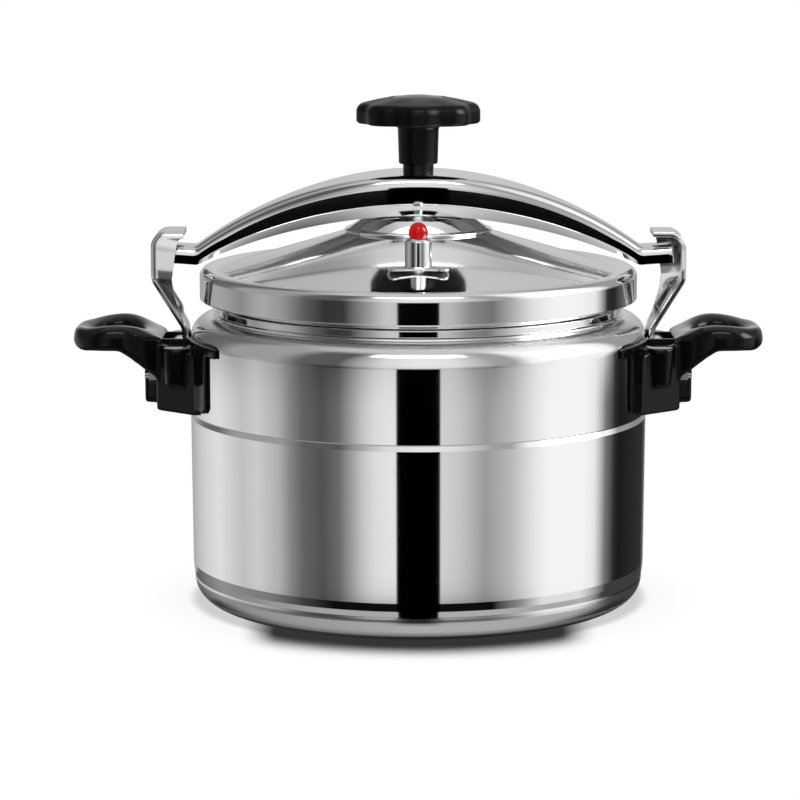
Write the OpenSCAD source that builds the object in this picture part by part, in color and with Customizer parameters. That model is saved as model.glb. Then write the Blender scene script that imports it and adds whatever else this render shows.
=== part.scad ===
// Clamp-beam pressure vessel: spun aluminium pot, skirted lid, arched beam
// drawn up by a hand knob under two swinging hooks, bakelite side handles.
// Millimetres, +Z up, front at -Y, origin at the centre of the base.

/* [Pot] */
// Outer radius of the pot wall
pot_r = 120; // [110:1:130]
// Thickness of the pot wall
pot_wall = 3; // [2:0.1:4]
// How much the wall narrows from the groove to the base
wall_draft = 0.6; // [0:0.1:1]
// Thickness of the pot floor
floor_t = 4; // [3:0.5:7]
// Radius of the rounded corner between base and wall
corner_r = 13; // [8:1:18]
// How far the turned base stands in from the wall
base_inset = 1.4; // [0.8:0.1:2]
// Height of the decorative groove above the floor
band_z = 98.2; // [60:1:100]
// Height of the decorative groove
band_h = 3; // [2:0.2:6]
// Depth of the decorative groove
band_depth = 0.9; // [0.5:0.1:1.4]
// Height at which the wall turns into the shoulder
shoulder_z = 139.3; // [136:0.1:150]
// Radius of the shoulder
shoulder_r = 12; // [10:0.5:14]
// Height of the neck from the shoulder to the rim
neck_h = 17.7; // [15:0.1:22]
// How far the rolled rim stands out from the neck
rim_out = 1.3; // [1:0.1:3.5]
// Height of the rolled rim
rim_h = 4.2; // [3:0.1:6]

/* [Rack] */
// Gap between the rack and the neck it is lowered through
rack_gap = 2.5; // [2:0.1:5]
// Height of the rack above the pot floor
rack_h = 10; // [6:1:20]
// Sheet thickness of the rack
rack_t = 1.6; // [1:0.1:2.5]
// Radius of a steam hole in the rack
rack_hole_r = 5; // [3:0.5:6]
// Distance from one ring of steam holes to the next
rack_ring_gap = 26; // [20:1:28]

/* [Lid] */
// Wall thickness of the lid
lid_t = 2.6; // [2:0.1:3.5]
// Gap between the pot rim and the inside of the lid skirt
skirt_gap = 3.4; // [1:0.1:4]
// How far the skirt hangs below the pot rim
skirt_drop = 9.6; // [6:0.2:11]
// Radius of the rounded lid edge
lid_edge_r = 4.5; // [3.5:0.5:6]
// How far the lid edge stands above the foot of the cone
bead_rise = 1.2; // [0.6:0.1:2]
// Width of the flat edge of the lid outside its cone
lid_edge_w = 10.8; // [10:0.1:13]
// Radius of the flat top of the lid
cone_top_r = 31.6; // [28:0.2:34]
// Rise of the lid cone
cone_h = 21.95; // [15:0.05:25]
// Thickness of the rubber gasket
gasket_t = 3.3; // [2:0.1:5]
// Width of the rubber gasket
gasket_w = 8; // [6:0.5:9]

/* [Centre plate and screw] */
// Radius of the pressed plate on the lid centre
plate_r = 38.7; // [36:0.1:44]
// Sheet thickness of the pressed plate
plate_t = 2.2; // [1.5:0.1:3]
// Radius of the raised lip of the pressed plate
plate_lip_r = 26.5; // [24.5:0.1:28]
// Height of the raised lip above the floor of the plate
plate_lip_h = 3.4; // [2:0.1:5]
// Radius of the thrust foot below the screw
foot_r = 10; // [9:0.5:11]
// Height of the thrust foot
foot_h = 4.7; // [4:0.1:6]
// Outer radius of the screw thread
screw_r = 8; // [7:0.5:9]
// Pitch of the screw thread
screw_pitch = 3; // [2:0.5:4]
// Radius of the turned tip that stands in the foot
tip_r = 5; // [4:0.5:6]
// Radius of the plain shank inside the knob
shank_r = 6; // [5:0.5:6.5]

/* [Beam] */
// Height of the crown of the beam
beam_z = 225.3; // [222:0.5:240]
// Length of the flat end of the beam
stub_l = 15.6; // [13:0.1:18]
// Gap between the end of the beam and the inside of the hook
end_gap = 3.3; // [3:0.1:5]
// Sheet thickness of the beam
beam_t = 2.6; // [2:0.1:3.5]
// Half width of the beam at the crown
beam_mid_w = 28; // [25:0.5:32]
// Half width of the beam at its ends
beam_end_w = 11; // [9:0.5:11.5]
// Depth of the beam at the crown
beam_depth = 20; // [16:0.5:22]
// Depth of the beam at its ends
end_depth = 9.3; // [8:0.1:10]
// Height of the flat ends of the beam
stub_z = 187.5; // [187:0.1:189]
// Radius of the bend between arch and end
bend_r = 6; // [4:0.5:9]
// Outer radius of the threaded bush
bush_r = 12; // [11:0.5:14]
// Length of the threaded bush
bush_h = 17; // [15:0.5:17.5]
// Radius of the flange on the bush
bush_flange_r = 17; // [15:0.5:19]
// Thickness of the flange on the bush
bush_flange_t = 3; // [2:0.5:4]
// Thickness of the stop washer under the bush
washer_t = 2.2; // [1.5:0.1:2.5]

/* [Knob] */
// Radius over the lobes of the knob
knob_r = 32.4; // [28:0.2:36]
// Number of lobes
knob_lobes = 8; // [5:1:10]
// Radius of the crowned top of the knob
knob_crown_r = 110; // [90:5:200]
// Depth of the hollows between the lobes
lobe_depth = 2.4; // [2:0.2:5]
// Height of the knob head at its crown
knob_h = 14.6; // [11:0.2:18]
// Radius of the knob stem below the head
stem_r = 10.7; // [10:0.1:12]
// Radius of the knob stem at its lower end
stem_low_r = 10.2; // [9:0.1:11]
// Length of the knob stem
stem_h = 22.1; // [18:0.1:30]
// Bare length of screw between beam and knob
knob_gap = 4.9; // [4.8:0.1:8]
// Radius of the cap on the knob
cap_r = 14.2; // [12:0.1:16]

/* [Hooks] */
// Height of the hook pivot above the base
pivot_z = 133; // [131:0.5:134]
// How far the hook pivot stands out from the pot wall
pivot_out = 6.5; // [6.4:0.1:7.5]
// Sheet thickness of the hook
hook_t = 2.8; // [2:0.1:3]
// Width of the hook
hook_w = 30; // [28.5:0.5:31]
// How far the hook stands out from the pot wall above its bend
hook_out = 19.7; // [19:0.1:22]
// Clearance between beam end and hook lip when slack
lip_gap = 4.3; // [4.2:0.1:6]
// Length of the hook lip from the outer face of the hook
lip_l = 17.1; // [15:0.1:20]
// Outer bend radius at the top of the hook
hook_bend_r = 9; // [6:0.5:10]
// Height of the lower bend above the pivot
hook_knee = 12; // [11.5:0.5:14]
// Height of the upper bend above the pivot
hook_elbow = 37.8; // [34:0.2:42]
// Outer radius of the rolled eye
eye_r = 5.5; // [5:0.1:5.6]
// Radius of the pivot pin
pin_r = 3; // [2.5:0.1:3.2]

/* [Brackets and handles] */
// Sheet thickness of the pot brackets
bracket_t = 2.3; // [2:0.1:2.5]
// Half length of the rolled eye between the bracket ears
eye_half = 12; // [11:0.5:12.5]
// Bottom of the handle above the base
handle_z = 102.5; // [100:0.5:106]
// How far the bracket stands out from the pot wall
bracket_out = 13.6; // [13.5:0.1:14]
// Height of the bracket above the bottom of the handle
bracket_lift = 3; // [2:0.5:5]
// Thickness of the wall between bracket and nuts
web_t = 3.7; // [3:0.1:5]
// Height of the handle above its bottom edge
handle_h = 34.9; // [32:0.1:36]
// How far the handle reaches out from the pot wall
handle_out = 61.6; // [55:0.2:70]
// Half width of the handle loop
loop_w = 29.5; // [26:0.5:34]
// Half length of the finger hole
hole_a = 13; // [10:0.5:14]
// Half width of the finger hole
hole_b = 17; // [12:0.5:20]
// Wall thickness of the handle cheeks
cheek_t = 4.5; // [3:0.1:6]
// How far the round bosses stand out from the pot wall
boss_out = 5.6; // [5:0.1:7]
// Distance of the round bosses from the middle of the handle
boss_y = 30.2; // [29:0.1:31]
// Radius of a boss at its top
boss_r = 7.4; // [6:0.1:8]
// Height of a boss
boss_h = 20.4; // [12:0.2:26]
// How far the middle rib stands out from the handle wall
rib_out = 7.3; // [4:0.1:9]
// Thickness of the middle rib
rib_t = 4.4; // [3:0.1:6]
// Thickness of the saddle round the pot
saddle_t = 1.7; // [1.4:0.1:2]
// Half angle of the saddle
saddle_span = 26; // [25:0.5:28]
// Radius of a handle bolt
bolt_r = 2.5; // [2:0.1:3]
// Radius of a bracket rivet
rivet_r = 2.5; // [2:0.1:3]

/* [Vent and safety plug] */
// Distance of the vent and the plug from the pot axis
vent_x = 75; // [65:0.5:80]
// Radius of the weight on the vent
weight_r = 6.75; // [6.5:0.05:8]
// Height of the weight
weight_h = 14.4; // [13:0.1:20]
// Radius of the vent nipple
nipple_r = 4; // [3:0.1:4.2]
// Radius of the red cap
ball_r = 5; // [4:0.1:6]
// Reach of the two vent ears from the vent axis
ear_reach = 15.6; // [14:0.1:18]
// Radius of the plug and vent threads
thread_r = 4.5; // [4:0.1:5]

/* [Hidden] */
$fn = 96;

fit = 0.1;        // gap between pieces that seat on each other
slip = 0.08;      // radial clearance of a shaft that turns in its bore
press = 0.02;     // radial clearance of a pressed or riveted piece
play = 0.3;       // gap between moving pieces that pass each other
eps = 0.01;       // overlap that joins or cuts cleanly
big = 400;        // longer than any piece

// Pot heights
base_line_z = corner_r + 1;
base_r = pot_r - base_inset;
neck_z = shoulder_z + shoulder_r;
neck_r = pot_r - shoulder_r - 1.5;
rim_r = neck_r + 1 + rim_out;
rim_z = neck_z + neck_h;
neck_in_r = neck_r - pot_wall;
rack_r = neck_in_r - rack_gap;

// Lid heights
lid_in_r = rim_r + skirt_gap;
lid_r = lid_in_r + lid_t;
seat_z = rim_z + fit + gasket_t + fit;
trough_z = seat_z + lid_t;
bead_z = trough_z + bead_rise;
skirt_z = rim_z - skirt_drop;
lid_top_z = trough_z + cone_h;
cone_foot_r = lid_r - lid_edge_w;
cone_slope = cone_h / (cone_foot_r - cone_top_r);
rim_cut_r = cone_foot_r + 1;

// Centre stack
plate_floor_z = lid_top_z + fit + plate_t;
plate_lip_z = plate_floor_z + plate_lip_h;
foot_z = plate_floor_z + fit;
foot_top_z = foot_z + foot_h;
foot_bore = 3.4;
screw_z = foot_top_z + play;
rivet_ring_r = (foot_r + plate_lip_r - plate_t) / 2;

// Beam: the arch rises to the crown and meets the flat ends in a small bend
hook_x = pot_r + hook_out;
beam_half = hook_x - hook_t - end_gap;
bend_x = beam_half - stub_l;
arch_rise = beam_z - stub_z - bend_r;
arch_r = (pow(bend_x, 2) + pow(arch_rise, 2) - pow(bend_r, 2)) / (2 * (bend_r + arch_rise));
arch_c = beam_z - arch_r;
bend_start = bend_x * arch_r / (arch_r + bend_r);
stub_slope = 0.07;
stub_top_z = stub_z + stub_slope * (beam_half - bend_x);
bush_top_z = beam_z;
bush_bottom_z = bush_top_z - bush_h;
bush_flange_z = arch_top(bush_flange_r) - beam_t - 2 * fit - bush_flange_t;

// Knob
knob_stem_z = beam_z + knob_gap;
knob_head_z = knob_stem_z + stem_h;
knob_top_z = knob_head_z + knob_h;
cap_z = knob_top_z - 2.7;
cap_t = 1.9;
shank_top_z = cap_z - 5;
cap_screw_r = 2;
cap_screw_head_r = 4.5;
knob_edge_r = 5;
knob_edge_drop = knob_crown_r - sqrt(pow(knob_crown_r - knob_edge_r, 2) - pow(knob_r - knob_edge_r, 2));
knob_edge_a = acos((knob_r - knob_edge_r) / (knob_crown_r - knob_edge_r));

// Hook
pivot_x = pot_r + pivot_out;
lip_x = hook_x - lip_l;
lip_z = stub_top_z + lip_gap;
hook_top_z = lip_z + hook_t;
eye_in_x = pivot_x - eye_r;
knee_z = pivot_z + hook_knee;
elbow_z = pivot_z + hook_elbow;
ear_in = eye_half + play;
ear_out = ear_in + bracket_t;

// Bracket and handle
bracket_x = pot_r + bracket_out;
handle_tip = pot_r + handle_out;
boss_x = pot_r + boss_out;
handle_top_z = handle_z + handle_h;
ear_top_z = pivot_z + eye_r + 1;
back_r = pot_r + fit;
back_top_z = pivot_z - eye_r - 2;
bracket_z = handle_z + bracket_lift;
pocket_w = ear_out + play;
slot_w = hook_w / 2 + 1.2;
wall_x = bracket_x + fit;
web_x = wall_x + web_t;
bolt_z = back_top_z - 5.5;
bolt_y = 8.5;
rivet_zs = [bracket_z + 5, back_top_z - 5];
rivet_head_h = 1.6;
bolt_head_r = 3.6;
nut_r = 4.9;
grip_end_r = 5.8;
grip_under_z = handle_top_z - 2.5;
cheek_x = web_x - 0.5;
cheek_y = 20.2;
wing_x = pot_r - 4.9;
wing_y = 39;
flare_x = 8;
flare_y = 7;
inward = 20;

// Vent and plug
pad_r = thread_r + 4.5;
pad_z = lid_z(vent_x) - 0.5;
pad_under_z = lid_z(vent_x + pad_r + 1) - lid_t;
seat_r = weight_r + 0.1;
seal_t = 1;
nut_h = 4;
under_seal_z = pad_under_z - fit - seal_t;
under_nut_z = under_seal_z - fit - nut_h;
flange_r = weight_r - 0.5;
flange_t = 0.9;
ear_r = 3.6;
ear_y = ear_r + 0.5;
ball_z = 0.66 * ball_r;
weight_z = pad_z + fit + flange_t + 2 * fit;
weight_top_z = weight_z + weight_h;
nipple_top_z = weight_top_z - ball_r + 0.8;

// Height of the lid cone at radius r
function lid_z(r) = trough_z + (cone_foot_r - max(r, cone_top_r)) * cone_slope;

// Height of the top face of the beam at distance x from its middle
function arch_top(x) =
    x <= bend_start ? arch_c + sqrt(arch_r * arch_r - x * x)
    : x <= bend_x ? stub_z + bend_r - sqrt(bend_r * bend_r - pow(bend_x - x, 2))
    : stub_z + stub_slope * (x - bend_x);

// Depth of the beam sides at distance x
function side_depth(x) = end_depth + (beam_depth - end_depth) * (1 - pow(min(x / bend_x, 1), 2.6));

// Half width of the beam at distance x
function half_width(x) =
    beam_end_w + (beam_mid_w - beam_end_w) * (1 + cos(180 * min(x / bend_x, 1))) / 2;

// Points of an arc about (cx, cy) from angle a to angle b
function arc(cx, cy, r, a, b, n = 12) =
    [for (i = [0:n]) let (t = a + (b - a) * i / n) [cx + r * cos(t), cy + r * sin(t)]];

// Top line of the handle at distance x from the pot axis
function crest(x) = let (u = (x - wall_x) / (handle_tip - wall_x))
    handle_top_z + 2.8 + 7.8 * sin(min(u / 0.46, 1) * 90)
        - (u > 0.46 ? 4.6 * pow((u - 0.46) / 0.54, 1.7) : 0);

// Half width of the handle at distance x
function handle_w(x) = let (u = (x - wall_x) / (handle_tip - wall_x))
    u < 0.55 ? cheek_y + (loop_w - cheek_y) * sin(min(u / 0.5, 1) * 90)
    : loop_w * sqrt(max(0, 1 - pow((u - 0.55) / 0.45, 2.4)));

// A profile in X and Z drawn out along Y from -w to w
module across(w) {
    translate([0, w, 0])
        rotate([90, 0, 0])
            linear_extrude(2 * w)
                children();
}

// The left piece is the right piece turned half round
module left() {
    rotate([0, 0, 180])
        children();
}

module pair() {
    children();
    left()
        children();
}

// ---------------------------------------------------------------- pot

module pot_profile() {
    in_r = shoulder_r - pot_wall;
    foot_r0 = base_r - corner_r;
    polygon(concat(
        [[0, 0]],
        arc(foot_r0, corner_r, corner_r, -90, 0),
        [[base_r, base_line_z], [pot_r - wall_draft - 0.3, base_line_z + 3],
         [pot_r - wall_draft, base_line_z + 7],
         [pot_r, band_z], [pot_r - band_depth, band_z + band_h], [pot_r, band_z + band_h]],
        arc(pot_r - shoulder_r, shoulder_z, shoulder_r, 0, 90, 16),
        [[neck_r + 1, neck_z], [neck_r + 1, neck_z + 0.8], [neck_r, neck_z + 1.6],
         [neck_r, rim_z - rim_h - 2], [rim_r - 1.2, rim_z - rim_h]],
        arc(rim_r - 1.2, rim_z - rim_h + 1.2, 1.2, -90, 0, 4),
        arc(rim_r - 1.2, rim_z - 1.2, 1.2, 0, 90, 4),
        [[neck_in_r + 1, rim_z], [neck_in_r, rim_z - 1], [neck_in_r, neck_z - pot_wall]],
        arc(pot_r - shoulder_r, shoulder_z, in_r, 90, 0, 12),
        arc(pot_r - pot_wall - corner_r + 3, floor_t + corner_r - 3, corner_r - 3, 0, -90, 10),
        [[0, floor_t]]));
}

// The part of the pot between two heights
module pot_slice(low, high) {
    rotate_extrude()
        intersection() {
            pot_profile();
            translate([0, low])
                square([2 * pot_r, high - low]);
        }
}

// Turned base with the rounded corner
module pot_base() {
    color([0.84, 0.85, 0.86])
        pot_slice(0, base_line_z);
}

// Shoulder, neck and rolled rim
module pot_neck() {
    color([0.86, 0.87, 0.88])
        pot_slice(shoulder_z + fit, rim_z + rim_h);
}

module pot_body() {
    color([0.86, 0.87, 0.88])
        difference() {
            pot_slice(base_line_z + fit, shoulder_z);
            pair()
                for (z = rivet_zs)
                    translate([pot_r - 2 * pot_wall, 0, z])
                        rotate([0, 90, 0])
                            cylinder(r = rivet_r + press, h = 3 * pot_wall);
        }
}

module rack() {
    top = floor_t + rack_h;
    color([0.78, 0.79, 0.8])
        difference() {
            union() {
                translate([0, 0, top - rack_t])
                    cylinder(r = rack_r, h = rack_t);
                translate([0, 0, floor_t + fit])
                    difference() {
                        cylinder(r = rack_r, h = rack_h - rack_t);
                        translate([0, 0, -eps])
                            cylinder(r = rack_r - rack_t, h = rack_h);
                    }
            }
            translate([0, 0, floor_t])
                cylinder(r = 2 * rack_hole_r, h = 2 * rack_h);
            for (ring = [1:3], k = [1:6 * ring])
                rotate([0, 0, 60 * k / ring])
                    translate([ring * rack_ring_gap, 0, floor_t])
                        cylinder(r = rack_hole_r, h = 2 * rack_h, $fn = 24);
        }
}

// ---------------------------------------------------------------- brackets

module bracket() {
    h = back_top_z - bracket_z;
    difference() {
        union() {
            intersection() {
                translate([0, -ear_out, bracket_z])
                    cube([bracket_x, 2 * ear_out, h]);
                difference() {
                    cylinder(r = back_r + bracket_t, h = back_top_z, $fn = 180);
                    translate([0, 0, -1])
                        cylinder(r = back_r, h = pivot_z, $fn = 180);
                }
            }
            for (y = [-ear_out, ear_in])
                difference() {
                    translate([pot_r - 2, y, bracket_z])
                        cube([bracket_x - pot_r + 2, bracket_t, ear_top_z - bracket_z]);
                    translate([0, 0, bracket_z - 1])
                        cylinder(r = back_r, h = big, $fn = 180);
                }
            translate([bracket_x - bracket_t, -ear_out, bracket_z])
                cube([bracket_t, 2 * ear_out, h]);
        }
        translate([pivot_x, -big / 2, pivot_z])
            rotate([-90, 0, 0])
                cylinder(r = pin_r + press, h = big);
        for (y = [-bolt_y, bolt_y])
            translate([bracket_x - 2 * bracket_t, y, bolt_z])
                rotate([0, 90, 0])
                    cylinder(r = bolt_r + press, h = 3 * bracket_t);
        for (z = rivet_zs)
            translate([pot_r - 5, 0, z])
                rotate([0, 90, 0])
                    cylinder(r = rivet_r + press, h = 8);
    }
}

module right_bracket() {
    color([0.06, 0.06, 0.065])
        bracket();
}

module left_bracket() {
    color([0.06, 0.06, 0.065])
        left()
            bracket();
}

module bracket_rivet() {
    inner = pot_r - pot_wall;
    outer = back_r + bracket_t;
    rotate([0, 90, 0]) {
        translate([0, 0, inner - fit])
            cylinder(r = rivet_r, h = outer - inner + 2 * fit);
        translate([0, 0, inner - fit - rivet_head_h])
            cylinder(r1 = rivet_r, r2 = 1.8 * rivet_r, h = rivet_head_h, $fn = 48);
        translate([0, 0, outer + fit])
            cylinder(r1 = 1.8 * rivet_r, r2 = rivet_r, h = rivet_head_h, $fn = 48);
    }
}

module bracket_rivets() {
    color([0.75, 0.76, 0.77])
        pair()
            for (z = rivet_zs)
                translate([0, 0, z])
                    bracket_rivet();
}

module hook_pin() {
    translate([pivot_x, 0, pivot_z])
        rotate([90, 0, 0])
            cylinder(r = pin_r, h = 2 * (ear_out + fit), center = true);
}

module right_hook_pin() {
    color([0.55, 0.56, 0.58])
        hook_pin();
}

module left_hook_pin() {
    color([0.55, 0.56, 0.58])
        left()
            hook_pin();
}

// ---------------------------------------------------------------- handles

// Side outline of the grip, from its root at the bracket to its tip
module grip_side() {
    n = 16;
    tip = handle_tip;
    polygon(concat(
        [[wall_x, handle_z + 14], [wall_x, crest(wall_x)]],
        [for (i = [1:n - 1]) let (x = wall_x + (tip - grip_end_r - wall_x) * i / n) [x, crest(x)]],
        arc(tip - grip_end_r, crest(tip) - 3.4, grip_end_r, 84, -100, 16),
        [[tip - 14.6, grip_under_z], [web_x + 18.1, grip_under_z],
         [web_x + 12.4, grip_under_z - 4], [web_x, grip_under_z - 14.7]]));
}

// Plan outline of the grip
module grip_plan() {
    n = 28;
    xs = [for (i = [0:n]) wall_x + (handle_tip - wall_x) * sin(90 * i / n)];
    polygon(concat(
        [for (x = xs) [x, -handle_w(x)]],
        [for (i = [n:-1:0]) [xs[i], handle_w(xs[i])]]));
}

// Plan outline of the cheeks round the bracket
module cheek_plan() {
    polygon([[wing_x - flare_x, -wing_y - flare_y], [wing_x, -wing_y], [cheek_x, -cheek_y],
        [cheek_x, cheek_y], [wing_x, wing_y], [wing_x - flare_x, wing_y + flare_y],
        [pot_r - inward, 0]]);
}

// Hollow inside one cheek, open below
module cheek_hollow() {
    far_y = wing_y - cheek_t * 1.4;
    polygon([[pot_r - 3, pocket_w + 2.6], [wall_x - 3, pocket_w + 2.6],
        [wing_x + 2, far_y], [wing_x - 3.1, far_y]]);
}

module finger_hole() {
    cx = (wall_x + handle_tip) / 2 + 0.5;
    translate([cx, 0, handle_z])
        linear_extrude(big)
            polygon([for (k = [0:35]) [hole_a * cos(10 * k), hole_b * sin(10 * k)]]);
}

// Saddle that wraps the pot beside the bracket, with ears along its top edge
module saddle() {
    ear_span = saddle_span + 5.5;
    ear_h = 5.6;
    cut = 14;
    difference() {
        union() {
            rotate([0, 0, -saddle_span])
                rotate_extrude(angle = 2 * saddle_span, $fn = 180)
                    translate([back_r, bracket_z])
                        square([saddle_t, handle_top_z - 2 - bracket_z]);
            rotate([0, 0, -ear_span])
                rotate_extrude(angle = 2 * ear_span, $fn = 180)
                    translate([back_r, handle_top_z - 2])
                        square([saddle_t, ear_h]);
        }
        for (s = [-1, 1])
            rotate([0, 0, s * (saddle_span + 2)])
                translate([pot_r, 0, handle_z])
                    rotate([s * 40, 0, 0])
                        cube([inward, cut, cut], center = true);
    }
}

module handle() {
    ramp = 4.5;
    difference() {
        union() {
            intersection() {
                across(loop_w + 10)
                    grip_side();
                linear_extrude(big)
                    grip_plan();
            }
            difference() {
                translate([0, 0, handle_z])
                    linear_extrude(handle_h)
                        cheek_plan();
                across(wing_y + inward)
                    polygon([[wing_x - inward, handle_top_z - ramp], [wing_x, handle_top_z - ramp],
                        [wing_x + flare_x, handle_top_z + eps],
                        [wing_x - inward, handle_top_z + eps]]);
            }
            for (s = [-1, 1])
                translate([boss_x, s * boss_y, handle_top_z - boss_h])
                    cylinder(r1 = boss_r - 1.8, r2 = boss_r, h = boss_h);
            translate([web_x - eps, -rib_t / 2, handle_z + 1])
                cube([rib_out, rib_t, bolt_z + nut_r - handle_z]);
            saddle();
        }
        translate([0, 0, handle_z - 5])
            cylinder(r = back_r, h = big, $fn = 180);
        translate([pot_r - 10, -pocket_w, handle_z - 5])
            cube([wall_x - pot_r + 10, 2 * pocket_w, big]);
        translate([pot_r - 10, -slot_w, ear_top_z + 0.8])
            cube([wall_x - pot_r + 11.5, 2 * slot_w, big]);
        for (s = [0, 1])
            mirror([0, s, 0])
                translate([0, 0, handle_z - 5])
                    linear_extrude(handle_h)
                        cheek_hollow();
        for (s = [-1, 1])
            translate([web_x, s * (rib_t + pocket_w + 2) / 2 - 8.2, handle_z - 5])
                cube([rib_out + 5, 16.4, bolt_z + nut_r + play - handle_z + 5]);
        finger_hole();
        for (y = [-bolt_y, bolt_y])
            translate([wall_x - 1, y, bolt_z])
                rotate([0, 90, 0])
                    cylinder(r = bolt_r + fit, h = web_t + 2);
    }
}

module right_handle() {
    color([0.04, 0.04, 0.045])
        handle();
}

module left_handle() {
    color([0.04, 0.04, 0.045])
        left()
            handle();
}

module handle_bolts() {
    head_t = 3;
    shank = bracket_t + web_t + nut_h + 2.5;
    color([0.62, 0.63, 0.65])
        pair()
            for (y = [-bolt_y, bolt_y])
                translate([0, y, bolt_z])
                    rotate([0, 90, 0]) {
                        translate([0, 0, bracket_x - bracket_t - fit - head_t])
                            cylinder(r = bolt_head_r, h = head_t);
                        translate([0, 0, bracket_x - bracket_t - fit - eps])
                            cylinder(r = bolt_r, h = shank);
                    }
}

module handle_nuts() {
    color([0.66, 0.67, 0.69])
        pair()
            for (y = [-bolt_y, bolt_y])
                translate([web_x + fit, y, bolt_z])
                    rotate([0, 90, 0])
                        difference() {
                            cylinder(r = nut_r, h = nut_h, $fn = 6);
                            translate([0, 0, -1])
                                cylinder(r = bolt_r + press, h = nut_h + 2);
                        }
}

// ---------------------------------------------------------------- hooks

// Side outline of the hook sheet
module hook_side() {
    dx = hook_x - eye_in_x - hook_t;
    dz = elbow_z - knee_z;
    k = hook_t * (sqrt(dx * dx + dz * dz) - dz) / dx;
    in_r = hook_bend_r - hook_t;
    polygon(concat(
        [[eye_in_x + hook_t, pivot_z], [eye_in_x + hook_t, knee_z - k], [hook_x, elbow_z - k]],
        arc(hook_x - hook_bend_r, hook_top_z - hook_bend_r, hook_bend_r, 0, 90),
        [[lip_x, hook_top_z], [lip_x, lip_z]],
        arc(hook_x - hook_bend_r, hook_top_z - hook_bend_r, in_r, 90, 0),
        [[hook_x - hook_t, elbow_z], [eye_in_x, knee_z], [eye_in_x, pivot_z]]));
}

// Outline of the closed side of the hook
module hook_flange() {
    polygon(concat(
        [[eye_in_x + 0.5, knee_z - 3.5], [eye_in_x + 2.2, knee_z - 3.5],
         [hook_x - 0.5, elbow_z]],
        arc(hook_x - hook_bend_r, hook_top_z - hook_bend_r, hook_bend_r - 0.5, 0, 90),
        [[lip_x, hook_top_z - 0.5], [lip_x + 1, lip_z - 1.5], [lip_x + 3.8, lip_z - 6],
         [lip_x + 5.6, lip_z - 16], [lip_x + 5.2, elbow_z - 2], [lip_x + 1.6, elbow_z - 15]]));
}

// Front view of the hook: full width above, narrowed to the eye below
module hook_front() {
    w = hook_w / 2;
    polygon([[-eye_half, pivot_z - eye_r - 1], [eye_half, pivot_z - eye_r - 1],
        [eye_half, knee_z - 1], [w, elbow_z - 6], [w, hook_top_z + 1], [-w, hook_top_z + 1],
        [-w, knee_z - 4], [-eye_half, knee_z - 4]]);
}

module hook() {
    difference() {
        intersection() {
            union() {
                across(hook_w / 2)
                    hook_side();
                translate([0, hook_w / 2, 0])
                    rotate([90, 0, 0])
                        linear_extrude(hook_t - 0.4)
                            hook_flange();
                translate([pivot_x, -eye_half, pivot_z])
                    rotate([-90, 0, 0])
                        cylinder(r = eye_r, h = 2 * eye_half);
            }
            rotate([90, 0, 90])
                linear_extrude(big)
                    mirror([1, 0, 0])
                        hook_front();
        }
        translate([pivot_x, -big / 2, pivot_z])
            rotate([-90, 0, 0])
                cylinder(r = pin_r + slip, h = big);
    }
}

module right_hook() {
    color([0.8, 0.81, 0.82])
        hook();
}

module left_hook() {
    color([0.8, 0.81, 0.82])
        left()
            hook();
}

// ---------------------------------------------------------------- lid

module gasket() {
    r = lid_in_r - 0.2;
    z0 = rim_z + fit;
    color([0.93, 0.93, 0.91])
        rotate_extrude()
            polygon([[r - gasket_w, z0], [r, z0], [r, z0 + gasket_t],
                [r - gasket_w + 1, z0 + gasket_t], [r - gasket_w, z0 + gasket_t - 1]]);
}

// Outside of the lid, filled down to its skirt
module lid_outer() {
    polygon(concat(
        [[0, skirt_z], [lid_r - 1, skirt_z], [lid_r, skirt_z + 1]],
        arc(lid_r - lid_edge_r, bead_z - lid_edge_r, lid_edge_r, 0, 90),
        [[lid_r - lid_edge_r - 1.2, bead_z - 0.1], [cone_foot_r + 2, trough_z + 0.1],
         [cone_foot_r, trough_z + 0.15], [cone_top_r, lid_top_z], [0, lid_top_z]]));
}

module lid_inner() {
    polygon([[0, skirt_z - 1], [lid_in_r, skirt_z - 1], [lid_in_r, seat_z],
        [cone_foot_r - 1, seat_z], [cone_top_r - 1, lid_top_z - lid_t], [0, lid_top_z - lid_t]]);
}

// The part of the lid between two radii
module lid_slice(near, far) {
    rotate_extrude()
        intersection() {
            difference() {
                lid_outer();
                lid_inner();
            }
            translate([near, 0])
                square([far - near, big]);
        }
}

// Rolled edge of the lid with the skirt that hangs outside the rim
module lid_rim() {
    color([0.87, 0.88, 0.89])
        lid_slice(rim_cut_r, lid_r + 1);
}

// Places of the vent at the front and the plug at the back
module at_seats() {
    for (y = [-vent_x, vent_x])
        translate([0, y, 0])
            children();
}

module lid_shell() {
    color([0.87, 0.88, 0.89])
        difference() {
            union() {
                lid_slice(0, rim_cut_r - fit);
                intersection() {
                    rotate_extrude()
                        lid_outer();
                    at_seats()
                        translate([0, 0, pad_under_z])
                            cylinder(r = pad_r + 2, h = 12);
                }
                at_seats()
                    translate([0, 0, pad_under_z])
                        cylinder(r = seat_r, h = pad_z - pad_under_z);
            }
            at_seats() {
                translate([0, 0, pad_z])
                    cylinder(r = pad_r, h = 12);
                translate([0, 0, pad_z - 10])
                    cylinder(r = thread_r + fit, h = 20);
            }
            for (k = [0:2])
                rotate([0, 0, 120 * k + 90])
                    translate([rivet_ring_r, 0, lid_top_z - 5])
                        cylinder(r = rivet_r + press, h = 10);
        }
}

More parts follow.
